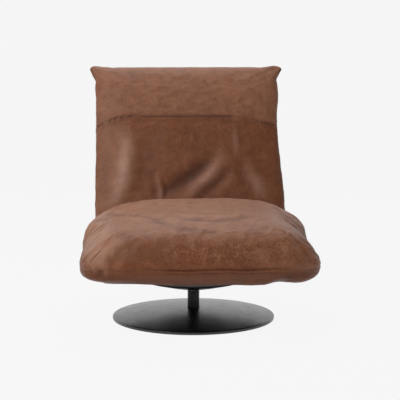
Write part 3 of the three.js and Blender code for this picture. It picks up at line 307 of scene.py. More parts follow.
# Back skin: the drawn-out form in the leaning frame, with its two top corners pulled out into ears
def backSkin(skin):
    form = backForm
    u, v, w = np.sin(skin * math.pi / 2).T
    a, b, c = drawnOut(u, v, w, form["plan"], form["crown"])
    corner = smoothStep(*form["earAcross"], np.abs(a)) * smoothStep(*form["earAlong"], b)
    spread = np.where(a < 0, stepped(*form["left"], b), stepped(*form["right"], b))
    ear = form["reach"] * corner * (1 - form["tip"] * smoothStep(*form["tipAlong"], b))
    middle, half = (form["low"] + form["high"]) / 2, (form["high"] - form["low"]) / 2
    along = middle + b * half + form["rise"] * corner
    behind = thicknessAt(along) / 2 * (1 - c * (1 - form["pinch"] * corner))
    points = onBack(a * (form["halfWidth"] + spread) + np.sign(a) * ear, along, behind)
    points[:, 2] = np.maximum(points[:, 2], form["trim"])
    return points


# Values from -1 to 1, closer together round the given places: even steps in a running sum of weighted bells
def closerRound(count, places=(), reach=1, pull=0):
    fine = np.linspace(-1, 1, 4001)
    weight = np.ones_like(fine) + sum(pull * bell(fine, place, reach) for place in places)
    run = np.concatenate([[0], np.cumsum((weight[1:] + weight[:-1]) / 2)])
    return np.interp(np.linspace(0, run[-1], count), run, fine)


# Neighbour mean, repeated: what is left of a field after its small folds are spread out
def spreadOut(values, quads, count, rounds):
    edges = np.concatenate([quads[:, [0, 1]], quads[:, [1, 2]], quads[:, [2, 3]], quads[:, [3, 0]]])
    degree = np.bincount(edges.ravel(), minlength=count)[:, None]
    for _ in range(rounds):
        total = np.zeros_like(values)
        for axis in range(values.shape[1]):
            total[:, axis] = np.bincount(edges[:, 0], values[edges[:, 1], axis], count) + np.bincount(
                edges[:, 1], values[edges[:, 0], axis], count)
        values = total / degree
    return values


# Both cloth runs alike; then each one's spare leather, cap on a move, and shares kept of its folds and its puff
cloth = {"quality": 6, "mass": 0.35, "stiffness": 18, "bending": 2, "damping": 2, "pressure": 4, "frames": 20,
         "levels": 8, "rounds": 60}
seatCloth = {"spare": 0.06, "cap": 0.024, "folds": 0.75, "puff": 0.05}
backCloth = {"spare": 0.05, "cap": 0.022, "folds": 0.4, "puff": 0.04}


# Moves of a skin that is blown up with spare leather in it, held where it is sewn or rests. Each move is capped,
# then split into its neighbours' mean, the puff, and the rest, the folds
def blownUp(name, points, quads, held, spare, own):
    made = makeMesh(name, points, quads)
    for word, weights in (("held", held), ("spare", spare)):
        group = made.vertex_groups.new(name=word)
        steps = np.round(weights * cloth["levels"]) / cloth["levels"]
        for level in np.unique(steps):
            group.add(np.nonzero(steps == level)[0].tolist(), float(level), "REPLACE")
    modifier = made.modifiers.new("cloth", "CLOTH")
    settings = modifier.settings
    settings.quality, settings.mass, settings.air_damping = cloth["quality"], cloth["mass"], cloth["damping"]
    settings.tension_stiffness = settings.compression_stiffness = cloth["stiffness"]
    settings.shear_stiffness = cloth["stiffness"] / 2
    settings.bending_stiffness = cloth["bending"]
    settings.use_pressure = True
    settings.uniform_pressure_force = cloth["pressure"]
    settings.shrink_min, settings.shrink_max = 0, -own["spare"]
    settings.vertex_group_shrink, settings.vertex_group_mass = "spare", "held"
    settings.effector_weights.gravity = 0
    modifier.collision_settings.use_collision = False
    modifier.point_cache.frame_start, modifier.point_cache.frame_end = 1, cloth["frames"]
    scene = bpy.context.scene
    for number in range(1, cloth["frames"] + 1):
        scene.frame_set(number)
    evaluated = made.evaluated_get(bpy.context.evaluated_depsgraph_get())
    move = vectorsOf(evaluated.data, "co") - points
    scene.frame_set(1)
    bpy.data.objects.remove(made)
    length = np.linalg.norm(move, axis=1, keepdims=True)
    move *= np.minimum(1, own["cap"] / np.maximum(length, 1e-9))
    print(name, "moved up to", round(float(length.max()) * 1000), "mm")
    puff = spreadOut(move, quads, len(points), cloth["rounds"])
    return (move - puff) * own["folds"] + puff * own["puff"]


# One subdivision, as a mesh of its own; gives back its points and normals
def subdivided(made):
    modifier = made.modifiers.new("finer", "SUBSURF")
    modifier.levels = modifier.render_levels = 1
    evaluated = made.evaluated_get(bpy.context.evaluated_depsgraph_get())
    mesh = bpy.data.meshes.new_from_object(evaluated)
    made.modifiers.clear()
    old, made.data = made.data, mesh
    bpy.data.meshes.remove(old)
    mesh.polygons.foreach_set("use_smooth", np.ones(len(mesh.polygons), bool))
    mesh.update()
    return vectorsOf(mesh, "co"), vectorsOf(mesh, "normal")


# The underside near its front edge is drawn up at the left and in a notch at the right, and hangs between the two
lowerEdge = {
    "front": [(0.5, -0.33, -0.36), (0.5, -0.375, -0.4)], "corner": (0.31, 0.335), "cornerDepth": (-0.28, -0.34),
    "bells": [(0.010, 0.27, 0.036), (-0.002, 0.18, 0.04)], "left": 0.009, "leftFrom": (0.04, 0.3),
}
plateOpening = {"halfWidth": 0.115, "halfDepth": 0.12, "near": 0.003, "lift": 0.006}


# Lift of the underside: bells and a step across, weighted by how near the front edge or a front corner is
def drawnUp(points):
    x, y, _ = points.T
    edge = stepped(0, lowerEdge["front"], y)
    corner = smoothStep(*lowerEdge["corner"], np.abs(x)) * smoothStep(*lowerEdge["cornerDepth"], y)
    across = sum(height * bell(x, middle, width) for height, middle, width in lowerEdge["bells"])
    return np.maximum(edge, corner) * (across + lowerEdge["left"] * smoothStep(*lowerEdge["leftFrom"], -x))


# The underside is cut away over the seat plate, so that the rubber stops meet steel: it ends inside the plate
def clearOfPlate(points, underside):
    x, y, z = points.T
    over = (np.abs(x) < plateOpening["halfWidth"]) & (np.abs(y) < plateOpening["halfDepth"])
    return points + np.outer(over & (z < underside + plateOpening["near"]), (0, 0, plateOpening["lift"]))


def replacePoints(made, points, underside):
    made.data.vertices.foreach_set("co", clearOfPlate(points, underside).astype(np.float32).ravel())
    made.data.update()


# A sewn line: a narrow valley with soft shoulders at a signed distance from the line
def sewn(away, width, depth):
    return depth * (0.35 * bell(np.abs(away), 2.4 * width, 1.6 * width) - bell(away, 0, width))


seatDetail = {
    "lines": [(84,), (66,), (34, [0], 0.09, 3)],  # of the skin, across, deep and high
    # cloth run: half-width held at the seam, what rests, and where the spare leather lies
    "held": 0.006, "rests": 0.004, "spare": [(0.24, 0.36), (-0.44, -0.34)], "spareLow": 0.25,
    # which way the leather faces, by its normal: front, side and up
    "faces": ((-0.1, -0.6), (0.35, 0.8), (0.05, 0.5)),
    # the front seam's two lines: they droop at both ends, sway a little, and slacken away from the middle
    "seam": 0.2585, "second": 0.0125, "seamWidth": 0.003, "seamDepth": 0.0036, "secondShare": 0.8, "droop": 0.004,
    "droopMiddle": -0.02, "droopFrom": (0.25, 0.4), "sway": 0.0012, "swayRate": 31,
    "slack": 0.3, "tautMiddle": 0.06, "tautTo": (0.26, 0.14),
    # strokes on the top, as (x, y) lines with their width and height, in mm
    "top": [
        ([(-330, 0), (-298, -60), (-232, -200), (-169, -276), (-126, -325), (-80, -365)], 13, -4.2),
        ([(-280, -120), (-220, -235), (-155, -310)], 14, 3),
        ([(-205, -290), (-158, -317), (-114, -334)], 9, -2.4),
        ([(-298, -129), (-338, -51), (-381, 62)], 12, -4),
        ([(-310, -181), (-344, -137), (-381, -106)], 12, -4),
        ([(-323, -211), (-356, -194), (-390, -190)], 12, -4),
        ([(-332, -296), (-360, -290), (-393, -286)], 14, -3),
        ([(-304, -155), (-341, -100), (-381, -40)], 9, 3),
        ([(-317, -200), (-350, -168), (-386, -150)], 9, 3),
        ([(-328, -250), (-358, -240), (-391, -240)], 10, 3),
        ([(-86, -268), (-30, -303), (52, -319), (130, -306), (201, -240)], 13, -4.2),
        ([(-70, -240), (-20, -272), (50, -287), (120, -275), (180, -235)], 20, 3.5),
        ([(-90, -372), (-3, -384), (70, -392)], 12, -2.6),
        ([(300, 20), (325, -30), (360, -80)], 10, -4.5),
        ([(310, -50), (335, -120), (372, -160)], 10, -4.5),
        ([(315, -140), (345, -200), (378, -230)], 11, -4),
    ],
    # strokes on the front, as (x, z) lines, in mm
    "front": [
        ([(-333, 264), (-337, 247), (-339, 230)], 11, -4.5),
        ([(-316, 268), (-318, 250), (-322, 232)], 10, 3),
        ([(-375, 278), (-345, 290), (-305, 296)], 26, 8),
        ([(-290, 300), (-235, 322), (-180, 336)], 24, -1.5),
        ([(140, 214), (160, 207), (180, 213)], 10, 4),
        ([(200, 215), (215, 205), (232, 214)], 9, 4),
        ([(290, 240), (296, 222), (300, 203)], 18, -4),
        ([(-300, 232), (-160, 236), (20, 233), (200, 237), (310, 233)], 14, 2.8),
    ],
    # gathers at the side seams: height, rates along, wandering and up, where in x, y and z, and their unevenness
    "gather": 0.0028, "rates": (155, 3.2, 21, 60), "uneven": (0.16, 7),
    "gathered": [(0.315, 0.385), (-0.42, -0.36), (0.262, 0.29), (0.43, 0.40)],
    "small": [(0.0011, 0.055, 3), (0.0006, 0.021, 5)], "smallLeast": 0.35, "low": (0.25, 0.205),
    # where the front roll is scuffed in z and y, and in x where it is most of all
    "scuffed": [(0.262, 0.29), (0.375, 0.335), (-0.3, -0.4)], "most": [(-0.2, -0.04), (0.37, 0.22)],
    "scuffLeast": 0.25,
    # paler places, painted light with some real fading on the top: the top, the left side towards the key light,
    # and painted highlight spots of the front as strength, x, width, z and height
    "fadedTop": (0.33, 0.41), "fadedSide": [(0.2, 0.36), (0.27, 0.33)],
    "highlightSpots": [(1, -0.365, 0.05, 0.292, 0.026), (0.6, 0.37, 0.07, 0.262, 0.035), (0.4, 0.28, 0.09, 0.3, 0.05)],
    # painted shade: darker towards the lower edge of the front, which faces down
    "deep": (0.264, 0.236), "foldScale": 0.006,
}


# The seat's leather: its skin blown up, then moved along each normal by the seam's groove, strokes, gathers and
# fine waves, with its lower edge lifted and its rear kept in front of the back
def makeSeat():
    own = seatDetail
    skin, quads = boxSkin(*(closerRound(*line) for line in own["lines"]))
    points = seatSkin(skin)
    x, y, z = points.T
    atSeam = bell(z, own["seam"], own["held"]) * (np.abs(skin[:, 2]) < 1)
    rests = (z < seatForm["underside"] + own["rests"]) | (y > faceDepthAt(z) - own["rests"])
    # spare leather lies along the sides and at the low front edge; the roll in front is drawn tight
    spare = np.maximum(within(own["spare"], np.abs(x), y), 0.5 * (z < own["spareLow"]))
    move = blownUp("seat_blown", points, quads, np.maximum(rests * 1.0, atSeam), spare, seatCloth)
    made = makeMesh("seat_leather", points + move, quads)
    points, normals = subdivided(made)
    x, y, z = points.T
    frontwards, sideways, upwards = own["faces"]
    front, up = smoothStep(*frontwards, normals[:, 1]), smoothStep(*upwards, normals[:, 2])
    around = np.maximum(front, smoothStep(*sideways, np.abs(normals[:, 0])))
    line = own["seam"] - own["droop"] * smoothStep(*own["droopFrom"], np.abs(x - own["droopMiddle"]))
    away = z - line - own["sway"] * np.sin(x * own["swayRate"])
    groove = sewn(away, own["seamWidth"], own["seamDepth"])
    groove += sewn(away + own["second"], own["seamWidth"] * own["secondShare"], own["seamDepth"] * own["secondShare"])
    taut = smoothStep(*own["tautTo"], np.abs(x - own["tautMiddle"]))
    groove *= (own["slack"] + (1 - own["slack"]) * taut) * around
    folds = sum(stroke(points[:, :2], *row) for row in own["top"]) * up / 1000
    folds += sum(stroke(points[:, [0, 2]], *row) for row in own["front"]) * front / 1000
    along, wander, wanderRate, rise = own["rates"]
    gather = np.sin(y * along + wander * np.sin(y * wanderRate) + z * rise)
    gather *= within(own["gathered"], np.abs(x), y, z, z)
    folds += own["gather"] * gather * np.clip(0.5 + 0.6 * waves(points, *own["uneven"]), 0, 1)
    small = fineWaves(points, own["small"]) * (own["smallLeast"] + (1 - own["smallLeast"]) * up)
    free = z > seatForm["underside"] + own["rests"] / 2
    moved = points + normals * ((groove + folds + small) * free)[:, None]
    moved[:, 2] += drawnUp(points) * smoothStep(*own["low"], z)
    moved[:, 1] = np.minimum(moved[:, 1], wallAt(moved[:, 0], moved[:, 2]))
    replacePoints(made, moved, seatForm["underside"])
    x, y, z = moved.T
    scuffed = own["scuffLeast"] + (1 - own["scuffLeast"]) * within(own["most"], x, x)
    # painted light: highlights on the front, the up-facing top (partly real fading) and the left side towards the key
    # light
    highlightSpots = [strength * bell(x, at, width) * bell(z, height, tall) * front
             for strength, at, width, height, tall in own["highlightSpots"]]
    places = [0.9 * up * smoothStep(*own["fadedTop"], z), 1.3 * within(own["fadedSide"], -x, z)]
    setValues(made, fold=np.clip(folds / own["foldScale"], -1, 1),
              seam=np.clip(-groove / own["seamDepth"], 0, 1) * 0.5,
              faded=np.maximum.reduce(places + highlightSpots), scuffed=scuffed * within(own["scuffed"], z, z, y),
              deep=smoothStep(*own["deep"], z) * front)
    return made


backDetail = {
    # the skin's lines across, deep and high
    "lines": [(84, [-0.86, 0.86], 0.08, 1.2), (104, [0.30, 0.8], 0.035, 2.2), (20, [-0.5, 0.5], 0.12, 1)],
    # cloth run: half-widths held at the seam and the edge, what rests, and where the spare leather lies
    "held": 0.006, "edgeHeld": 0.008, "restsBelow": 0.1, "rests": 0.02, "spareBelow": (0.5, 0.35),
    "sparePanel": (0.57, 0.04), "panelShare": 0.25,
    "facing": (0.1, 0.6), "turned": (0.9, 0.6), "body": (0.0, 0.15),
    # the seam across, its second line, and the seams along the front and the rear edge: width and depth
    "seam": (0.003, 0.005), "second": (0.0022, 0.0012), "secondBelow": 0.011, "edgeSeam": (0.003, 0.004),
    "edge": 0.045, "rearEdge": 0.022, "rearShare": 0.6,
    # the panel above the seam is fuller, up to its sides
    "panel": 0.007, "panelAt": (0.69, 0.085), "panelSides": (0.36, 0.25),
    # pleats round the ears: their centre, height, number and turn, and from where to where
    "ear": (0.385, 0.815), "pleat": 0.0014, "pleats": 8, "pleatTurn": 1.3,
    "pleated": [(0.012, 0.03), (0.08, 0.04)],
    "small": [(0.0009, 0.075, 11), (0.0004, 0.024, 13)], "calm": 0.7,
    "calmed": [(0.76, 0.8), (0.36, 0.3)], "foldScale": 0.009,
    # strokes on the face, as (x, along) lines with their width, height and taper, in mm
    "face": [
        ([(-250, 560), (-243, 500), (-236, 443), (-246, 383), (-253, 322), (-277, 262), (-295, 200)], 30, 11, 0.55),
        ([(-180, 520), (-175, 430), (-185, 340), (-200, 250)], 36, -3, 0.5),
        ([(-332, 500), (-324, 400), (-334, 300), (-345, 220)], 22, -4, 0.5),
        ([(-128, 362), (-122, 330), (-114, 280), (-117, 230)], 9, 5, 0.45),
        ([(-143, 355), (-138, 320), (-134, 280), (-140, 240)], 9, -3, 0.4),
        ([(-113, 340), (-100, 310), (-94, 270), (-98, 240)], 7, -3, 0.4),
        ([(125, 425), (62, 383), (-8, 335), (-93, 277), (-130, 245)], 26, -12, 0.45),
        ([(150, 450), (125, 413), (76, 337), (-1, 262), (-30, 220)], 27, 10, 0.55),
        ([(160, 375), (125, 337), (80, 297), (34, 260), (0, 220)], 19, -9, 0.45),
        ([(190, 360), (155, 315), (120, 275), (90, 230)], 20, 2.8, 0.4),
        ([(215, 420), (238, 352), (260, 300), (285, 240)], 22, 6, 0.5),
        ([(180, 380), (205, 320), (235, 250)], 22, -3, 0.45),
        ([(175, 580), (178, 499), (180, 400)], 14, 2.2, 0.5),
        ([(-100, 560), (-95, 500), (-100, 430)], 20, 2, 0.5),
    ],
    # painted highlights along the ridges: lines in mm with their width, strength and taper
    "shine": [
        ([(-250, 540), (-243, 460), (-250, 390), (-257, 325), (-281, 262), (-297, 200)], 25, 0.95, 0.6),
        ([(-232, 500), (-228, 440), (-234, 380)], 20, 0.3, 0.5),
        ([(-116, 310), (-113, 280), (-115, 230)], 6, 0.6, 0.45),
        ([(140, 440), (122, 413), (72, 337), (-4, 262), (-30, 230)], 25, 0.42, 0.6),
        ([(238, 360), (260, 300), (285, 240)], 22, 0.45, 0.5),
        ([(178, 560), (180, 490), (182, 410)], 10, 0.3, 0.5),
    ],
    # colours: the seam's painted shade fades to the right; the panel and the left side are paler, painted light where
    # they face up and towards the key light; the lower part is scuffed and darker, its darkening painted shade; each
    # as a strength and where it starts and ends
    "seamFades": (0.55, 0.1, 0.25), "palePanel": (0.5, -0.03, 0.03), "litLeftSide": (0.45, 0.2, 0.33),
    # painted shade: the lower back darker, save on its left side towards the key light
    "scuff": (0.3, 0.5, 0.25), "deep": (0.3, 0.57, 0.5), "deepFrom": (-0.3, -0.18),
}


# The back's leather: its skin blown up, then moved along each normal by the grooves of its seams, strokes on the
# face, the fuller panel, pleats round the ears and fine waves
def makeBack():
    own = backDetail
    skin, quads = boxSkin(*(closerRound(*line) for line in own["lines"]))
    points = backSkin(skin)
    x, along, behind = inBack(points).T
    rests = (along < own["restsBelow"]) | (points[:, 2] < backForm["trim"] + own["rests"])
    atSeam = bell(along, seamAlong(x), own["held"])
    atEdge = bell(behind, own["edge"], own["edgeHeld"]) * (np.abs(skin[:, 2]) < 1)
    spare = smoothStep(*own["spareBelow"], along) + own["panelShare"] * bell(along, *own["sparePanel"])
    held = np.maximum.reduce([rests * 1.0, atSeam, atEdge])
    move = blownUp("back_blown", points, quads, held, np.clip(spare, 0, 1), backCloth)
    made = makeMesh("back_leather", points + move, quads)
    points, normals = subdivided(made)
    placed = inBack(points)
    flat, (x, along, behind) = placed[:, :2], placed.T
    facing = normals[:, 2] * leanSine - normals[:, 1] * leanCosine
    front, rear = smoothStep(*own["facing"], facing), smoothStep(*own["facing"], -facing)
    edge = smoothStep(*own["turned"], np.abs(facing))
    away = along - seamAlong(x)
    groove = sewn(away, *own["seam"]) * np.maximum(front, own["rearShare"] * rear)
    groove += sewn(away + own["secondBelow"], *own["second"]) * front
    for at in (own["edge"], thicknessAt(along) - own["rearEdge"]):
        groove += sewn(behind - at, *own["edgeSeam"]) * edge
    folds = sum(stroke(flat, *row) for row in own["face"]) * front / 1000
    shine = np.maximum.reduce([stroke(flat, *row) for row in own["shine"]]) * front
    fuller = own["panel"] * bell(along, *own["panelAt"]) * smoothStep(*own["panelSides"], np.abs(x)) * front
    outward, upward = np.abs(x) - own["ear"][0], along - own["ear"][1]
    around, out = np.arctan2(upward, outward), np.hypot(outward, upward)
    pleats = np.sin(around * own["pleats"] + own["pleatTurn"] * np.sign(x))
    folds += own["pleat"] * pleats * within(own["pleated"], out, out)
    small = fineWaves(points, own["small"]) * (1 - own["calm"] * within(own["calmed"], along, np.abs(x)))
    free = (points[:, 2] > backForm["trim"] + 0.002) * smoothStep(*own["body"], along)
    moved = points + normals * ((groove + folds + fuller + small) * free)[:, None]
    replacePoints(made, moved, backForm["trim"])
    # painted light on the panel and the left side, painted shade on the lower back, the seam's painted shade fading
    # right
    fades, palePanel, litLeftSide, scuff, deep = (
        own[name][0] * smoothStep(*own[name][1:], at) for name, at in (
            ("seamFades", x), ("palePanel", away), ("litLeftSide", -x), ("scuff", along), ("deep", along)))
    setValues(made, fold=np.clip(folds / own["foldScale"], -1, 1),
              seam=np.clip(-groove / own["seam"][1], 0, 1) * (1 - fades * front),
              faded=np.maximum(palePanel, litLeftSide), scuffed=scuff, shine=np.clip(shine, 0, 1),
              deep=deep * front * smoothStep(*own["deepFrom"], x))
    return made


seatLeather = makeSeat()
backLeather = makeBack()
print("leather:", len(seatLeather.data.polygons), len(backLeather.data.polygons), "quads")


# Stitches: short rounded threads laid along a line of a skin, their tapered ends sunk in it
stitch = {"pitch": 0.0075, "length": 0.0056, "radius": 0.00075, "sides": 6, "rings": 5, "blunt": 0.04,
          "proud": 0.35, "sunk": 0.0006}
# rows: how far above the seam each lies; the line's ends in x, how many points guide it, and where it looks from
seatRows = {"seat_stitches_upper": 0.0075, "seat_stitches_lower": -0.0075 - seatDetail["second"]}
backRows = {"back_stitches_upper": -0.0065, "back_stitches_lower": -0.0165}
seatGuide, backGuide = {"ends": (-0.375, 0.385, 300), "y": -0.47}, {"ends": (-0.352, 0.352, 260), "behind": -0.01}


def treeOf(made):
    return BVHTree.FromPolygons([v.co for v in made.data.vertices], [p.vertices for p in made.data.polygons])


# Even places along the guide, each moved to the skin's nearest point; a thread is a tube round (t, 0, lift) whose
# radius is the square root of 1 less t squared, its lift falling with t squared
def makeStitches(name, tree, guide):
    run = np.concatenate([[0], np.cumsum(np.linalg.norm(np.diff(guide, axis=0), axis=1))])
    at = np.arange(stitch["pitch"], run[-1], stitch["pitch"])
    found = [tree.find_nearest(Vector(p)) for p in np.stack([np.interp(at, run, line) for line in guide.T], 1)]
    place, normal = np.array([f[0] for f in found]), np.array([f[1] for f in found])
    ahead = np.gradient(place, axis=0)
    ahead -= (ahead * normal).sum(1, keepdims=True) * normal
    ahead /= np.linalg.norm(ahead, axis=1, keepdims=True)
    side = np.cross(normal, ahead)
    t = np.linspace(-1, 1, stitch["rings"])[:, None]
    turn = np.linspace(0, 2 * math.pi, stitch["sides"], endpoint=False)
    swell = stitch["radius"] * np.sqrt(np.clip(1 + stitch["blunt"] - t**2, stitch["blunt"], 1))
    lift = stitch["radius"] * stitch["proud"] - stitch["sunk"] * t**2
    shape = np.stack([
        np.broadcast_to(t * stitch["length"] / 2, (len(t), len(turn))),
        swell * np.cos(turn), swell * np.sin(turn) + lift], -1).reshape(-1, 3)
    points = place[:, None] + sum(shape[:, n, None] * way[:, None] for n, way in enumerate((ahead, side, normal)))
    faces = gridQuads(len(t), len(turn), False, True)[:, ::-1]
    every = (faces[None] + (np.arange(len(place)) * len(shape))[:, None, None]).reshape(-1, 4)
    return makeMesh(name, points.reshape(-1, 3), every)


stitches = []
seatTree, backTree = treeOf(seatLeather), treeOf(backLeather)
xs = np.linspace(*seatGuide["ends"])
for name, above in seatRows.items():
    guide = np.stack(np.broadcast_arrays(xs, seatGuide["y"], seatDetail["seam"] + above), 1)
    stitches.append(makeStitches(name, seatTree, guide))
xs = np.linspace(*backGuide["ends"])
for name, above in backRows.items():
    guide = onBack(xs, seamAlong(xs) + above, backGuide["behind"])
    stitches.append(makeStitches(name, backTree, guide))
print("stitches sewn")


# Base: spun dome with a rolled edge, seen from close to the floor; lengths in metres
dome = {"radius": 0.3, "rimLow": 0.0008, "rimHigh": 0.009, "bevel": 0.0022, "top": 0.040, "wall": 0.002,
        "hole": 0.0223, "foot": 0.0006, "roll": 0.003, "rollDrop": 0.0033, "join": 0.0005, "sides": 256, "steps": 56}


# Part of a ball, whose radius is (edge squared + rise squared) / twice the rise. Its edge: a small foot radius, the
# upright rim, then a quarter roll into the dome
def makeDome():
    edge, rise = dome["radius"] - dome["bevel"], dome["top"] - (dome["rimHigh"] + dome["bevel"])
    ball = (edge**2 + rise**2) / (2 * rise)
    out = np.linspace(edge, dome["hole"], dome["steps"])
    back = np.linspace(dome["hole"], edge - dome["wall"], dome["steps"])
    over, under = (np.stack([r, dome["top"] - ball + np.sqrt(radius**2 - r**2)], 1)
                   for r, radius in ((out, ball), (back, ball - dome["wall"])))
    low = arc((dome["radius"] - dome["foot"], dome["rimLow"] + dome["foot"]), dome["foot"], -90, 0, 4)
    slope = math.degrees(math.asin(edge / ball))
    roll = arc((dome["radius"] - dome["roll"], over[0, 1] - dome["rollDrop"]), dome["roll"], 0, 90 - slope, 7)
    keep = over[:, 0] < roll[-1, 0] - dome["join"]
    profile = np.concatenate([[[edge - dome["wall"], dome["rimLow"]]], low, roll, over[keep], under])
    return revolved("base_dome", profile, dome["sides"])


# Column: a tube on a flange, with broken edges and a hollow weld between the two
post = {
    "sides": 96,
    "profile": [
        (0.0195, 0.0116), (0.062, 0.0116), (0.0612, 0.0168, 0.0008, 0, 90, 4), (0.027, 0.0176),
        (0.027, 0.0226, 0.005, 270, 180, 6), (0.022, 0.06), (0.0214, 0.1034, 0.0006, 0, 90, 4), (0.0195, 0.104),
    ],
}

pan = {"hole": 0.038, "floor": 0.108, "slope": 0.24, "belly": 0.0005, "bend": 0.014, "wall": 0.002, "edge": 0.001,
       "flange": 0.013, "sides": 160}
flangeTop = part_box("mechanism_pan")[1].z
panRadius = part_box("mechanism_pan")[1].x - pan["flange"]


# Pan: a shallow cone whose rim turns up on a bend, with a flange that lies against the rails
def makePan():
    hole, floor, bend, wall, edge = (pan[k] for k in ("hole", "floor", "bend", "wall", "edge"))
    flangeLow, outer = flangeTop - wall, panRadius + pan["flange"]
    rimLow = floor + pan["slope"] * (panRadius - bend - hole)
    start = -90 + math.degrees(math.atan(pan["slope"])) / 2
    centre = (panRadius - bend, rimLow + bend)
    profile = profileOf([
        (hole, floor), ((hole + panRadius) / 2, (floor + rimLow + pan["belly"]) / 2), (*centre, bend, start, 0, 9),
        (panRadius, flangeLow - edge), (panRadius + edge, flangeLow), (outer, flangeLow), (outer, flangeTop),
        (panRadius - wall, flangeTop), (panRadius - wall, centre[1]), (*centre, bend - wall, 0, start, 9),
        (hole, floor + wall)])
    return revolved("pan_shell", profile, pan["sides"])


# Spring: a wire wound on a helix whose last turns climb less, so that they close up at both ends
spring = {"radius": 0.015, "wire": 0.00225, "turns": 5, "steps": 40, "sides": 10, "least": 0.3, "closes": 0.16}


def makeSpring(name, box):
    low, high = box
    x, y = (low.x + high.x) / 2, (low.y + high.y) / 2
    wire, closes, sides = spring["wire"], spring["closes"], spring["sides"]
    t = np.linspace(0, 1, spring["turns"] * spring["steps"] + 1)
    pitch = spring["least"] + (1 - spring["least"]) * within([(0, closes), (1, 1 - closes)], t, t)
    risen = np.concatenate([[0], np.cumsum((pitch[1:] + pitch[:-1]) / 2)])
    climb = low.z + wire + risen / risen[-1] * (high.z - low.z - 2 * wire)
    angle = t * spring["turns"] * 2 * math.pi
    line = np.stack([x + spring["radius"] * np.cos(angle), y + spring["radius"] * np.sin(angle), climb], 1)
    points, quads = tube(line, wire, sides)
    ends = [list(range(sides)), list(range(len(points) - sides, len(points)))[::-1]]
    return makeMesh(name, points, quads.tolist() + ends), (x, y, low.z), (x, y, high.z)


domePiece = makeDome()
columnPiece = revolved("column_tube", profileOf(post["profile"]), post["sides"])
panPiece = makePan()
springs = {n: makeSpring(n.replace("spring", "coil"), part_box(n)) for n in nodes if n.startswith("spring_")}
print("metal pieces made")


# Dust cover: a thin black cloth from the pan's hole out to a rounded rectangle, hanging a little between its staples
dust = {"rounds": 144, "rings": 28, "corner": 0.09, "sag": 0.0035, "thick": 0.0008, "clear": 0.0008,
        "ripples": 23, "least": 0.6}


# Each ring is a share of the way out to the outline; the sag is a sine of that share, rippled by a sine round the pan
def makeDustCover():
    low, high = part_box("dust_cover")
    corner, start = dust["corner"], panRadius + dust["clear"]
    left, right, near, far = low.x + corner, high.x - corner, low.y + corner, high.y - corner
    corners = [(right, far), (left, far), (left, near), (right, near)]
    outline = np.concatenate([arc(centre, corner, 90 * n, 90 * n + 90, 40) for n, centre in enumerate(corners)])
    between = np.linspace(0, 1, 20, endpoint=False)[:, None]
    edge = (outline[:, None] + between * (np.roll(outline, -1, 0) - outline)[:, None]).reshape(-1, 2)
    angle = np.arctan2(edge[:, 1], edge[:, 0])
    order = np.argsort(angle)
    turn = np.linspace(-math.pi, math.pi, dust["rounds"], endpoint=False)
    reach = np.interp(turn, angle[order], np.hypot(edge[:, 0], edge[:, 1])[order], period=2 * math.pi)[:, None]
    turn, share = turn[:, None], np.linspace(0, 1, dust["rings"])
    r = start + share * (reach - start)
    ripple = dust["least"] + (1 - dust["least"]) * (0.5 + 0.5 * np.sin(turn * dust["ripples"]))
    z = high.z - dust["sag"] * np.sin(share * math.pi) * ripple
    points = np.stack([r * np.cos(turn), r * np.sin(turn), z], -1).reshape(-1, 3)
    points[:, 2] += drawnUp(points)
    made = makeMesh("dust_cloth", points, gridQuads(dust["rounds"], dust["rings"], True)[:, ::-1])
    solid = made.modifiers.new("thickness", "SOLIDIFY")
    solid.thickness, solid.offset = dust["thick"], -1
    flatSize = (high.x - low.x, high.y - low.y)
    area = flatSize[0] * flatSize[1] - (4 - math.pi) * corner**2 - math.pi * panRadius**2
    return made, flatSize, area


dustPiece, dustFlat, dustArea = makeDustCover()
print("dust cover made")


# Materials: nodes are added to a tree with their inputs given as values or as other nodes' sockets
def newMaterial(name):
    material = bpy.data.materials.new(name)
    material.use_nodes = True
    tree = material.node_tree
    shader = next(n for n in tree.nodes if n.type == "BSDF_PRINCIPLED")
    return material, tree, shader


def put(tree, target, value):
    if isinstance(value, bpy.types.NodeSocket):
        tree.links.new(value, target)
    else:
        target.default_value = value


def dress(tree, node, inputs):
    for key, value in inputs.items():
        put(tree, node.inputs[key], value)


def add(tree, kind, settings=None, **inputs):
    node = tree.nodes.new(kind)
    for key, value in (settings or {}).items():
        setattr(node, key, value)
    dress(tree, node, inputs)
    return node


def objectPlace(tree):
    return add(tree, "ShaderNodeTexCoord").outputs["Object"]


def ramp(tree, value, stops):
    node = add(tree, "ShaderNodeValToRGB", Fac=value)
    while len(node.color_ramp.elements) < len(stops):
        node.color_ramp.elements.new(0.5)
    for element, (at, colour) in zip(node.color_ramp.elements, stops):
        element.position = at
        element.color = (*colour, 1)
    return node.outputs["Color"]


def grey(value):
    return (value, value, value)


# A ramp of greys between two places of a field
def greys(tree, value, low, high, first=0, last=1):
    return ramp(tree, value, [(low, grey(first)), (high, grey(last))])


# A colour as it is written in sRGB, 0 to 255, made linear
def srgb(*values):
    return tuple((v / 255 / 12.92) if v / 255 <= 0.04045 else ((v / 255 + 0.055) / 1.055) ** 2.4 for v in values)


def mix(tree, share, first, second):
    node = add(tree, "ShaderNodeMix", {"data_type": "RGBA"})
    for at, value in ((0, share), (6, first), (7, second)):
        put(tree, node.inputs[at], (*value, 1) if isinstance(value, tuple) else value)
    return node.outputs[2]


def noise(tree, vector, scale, detail=2.0, rough=0.5, distortion=0.0):
    return add(tree, "ShaderNodeTexNoise", Vector=vector, Scale=scale, Detail=detail, Roughness=rough,
               Distortion=distortion).outputs["Fac"]


def attribute(tree, name):
    return add(tree, "ShaderNodeAttribute", {"attribute_name": name}).outputs["Fac"]


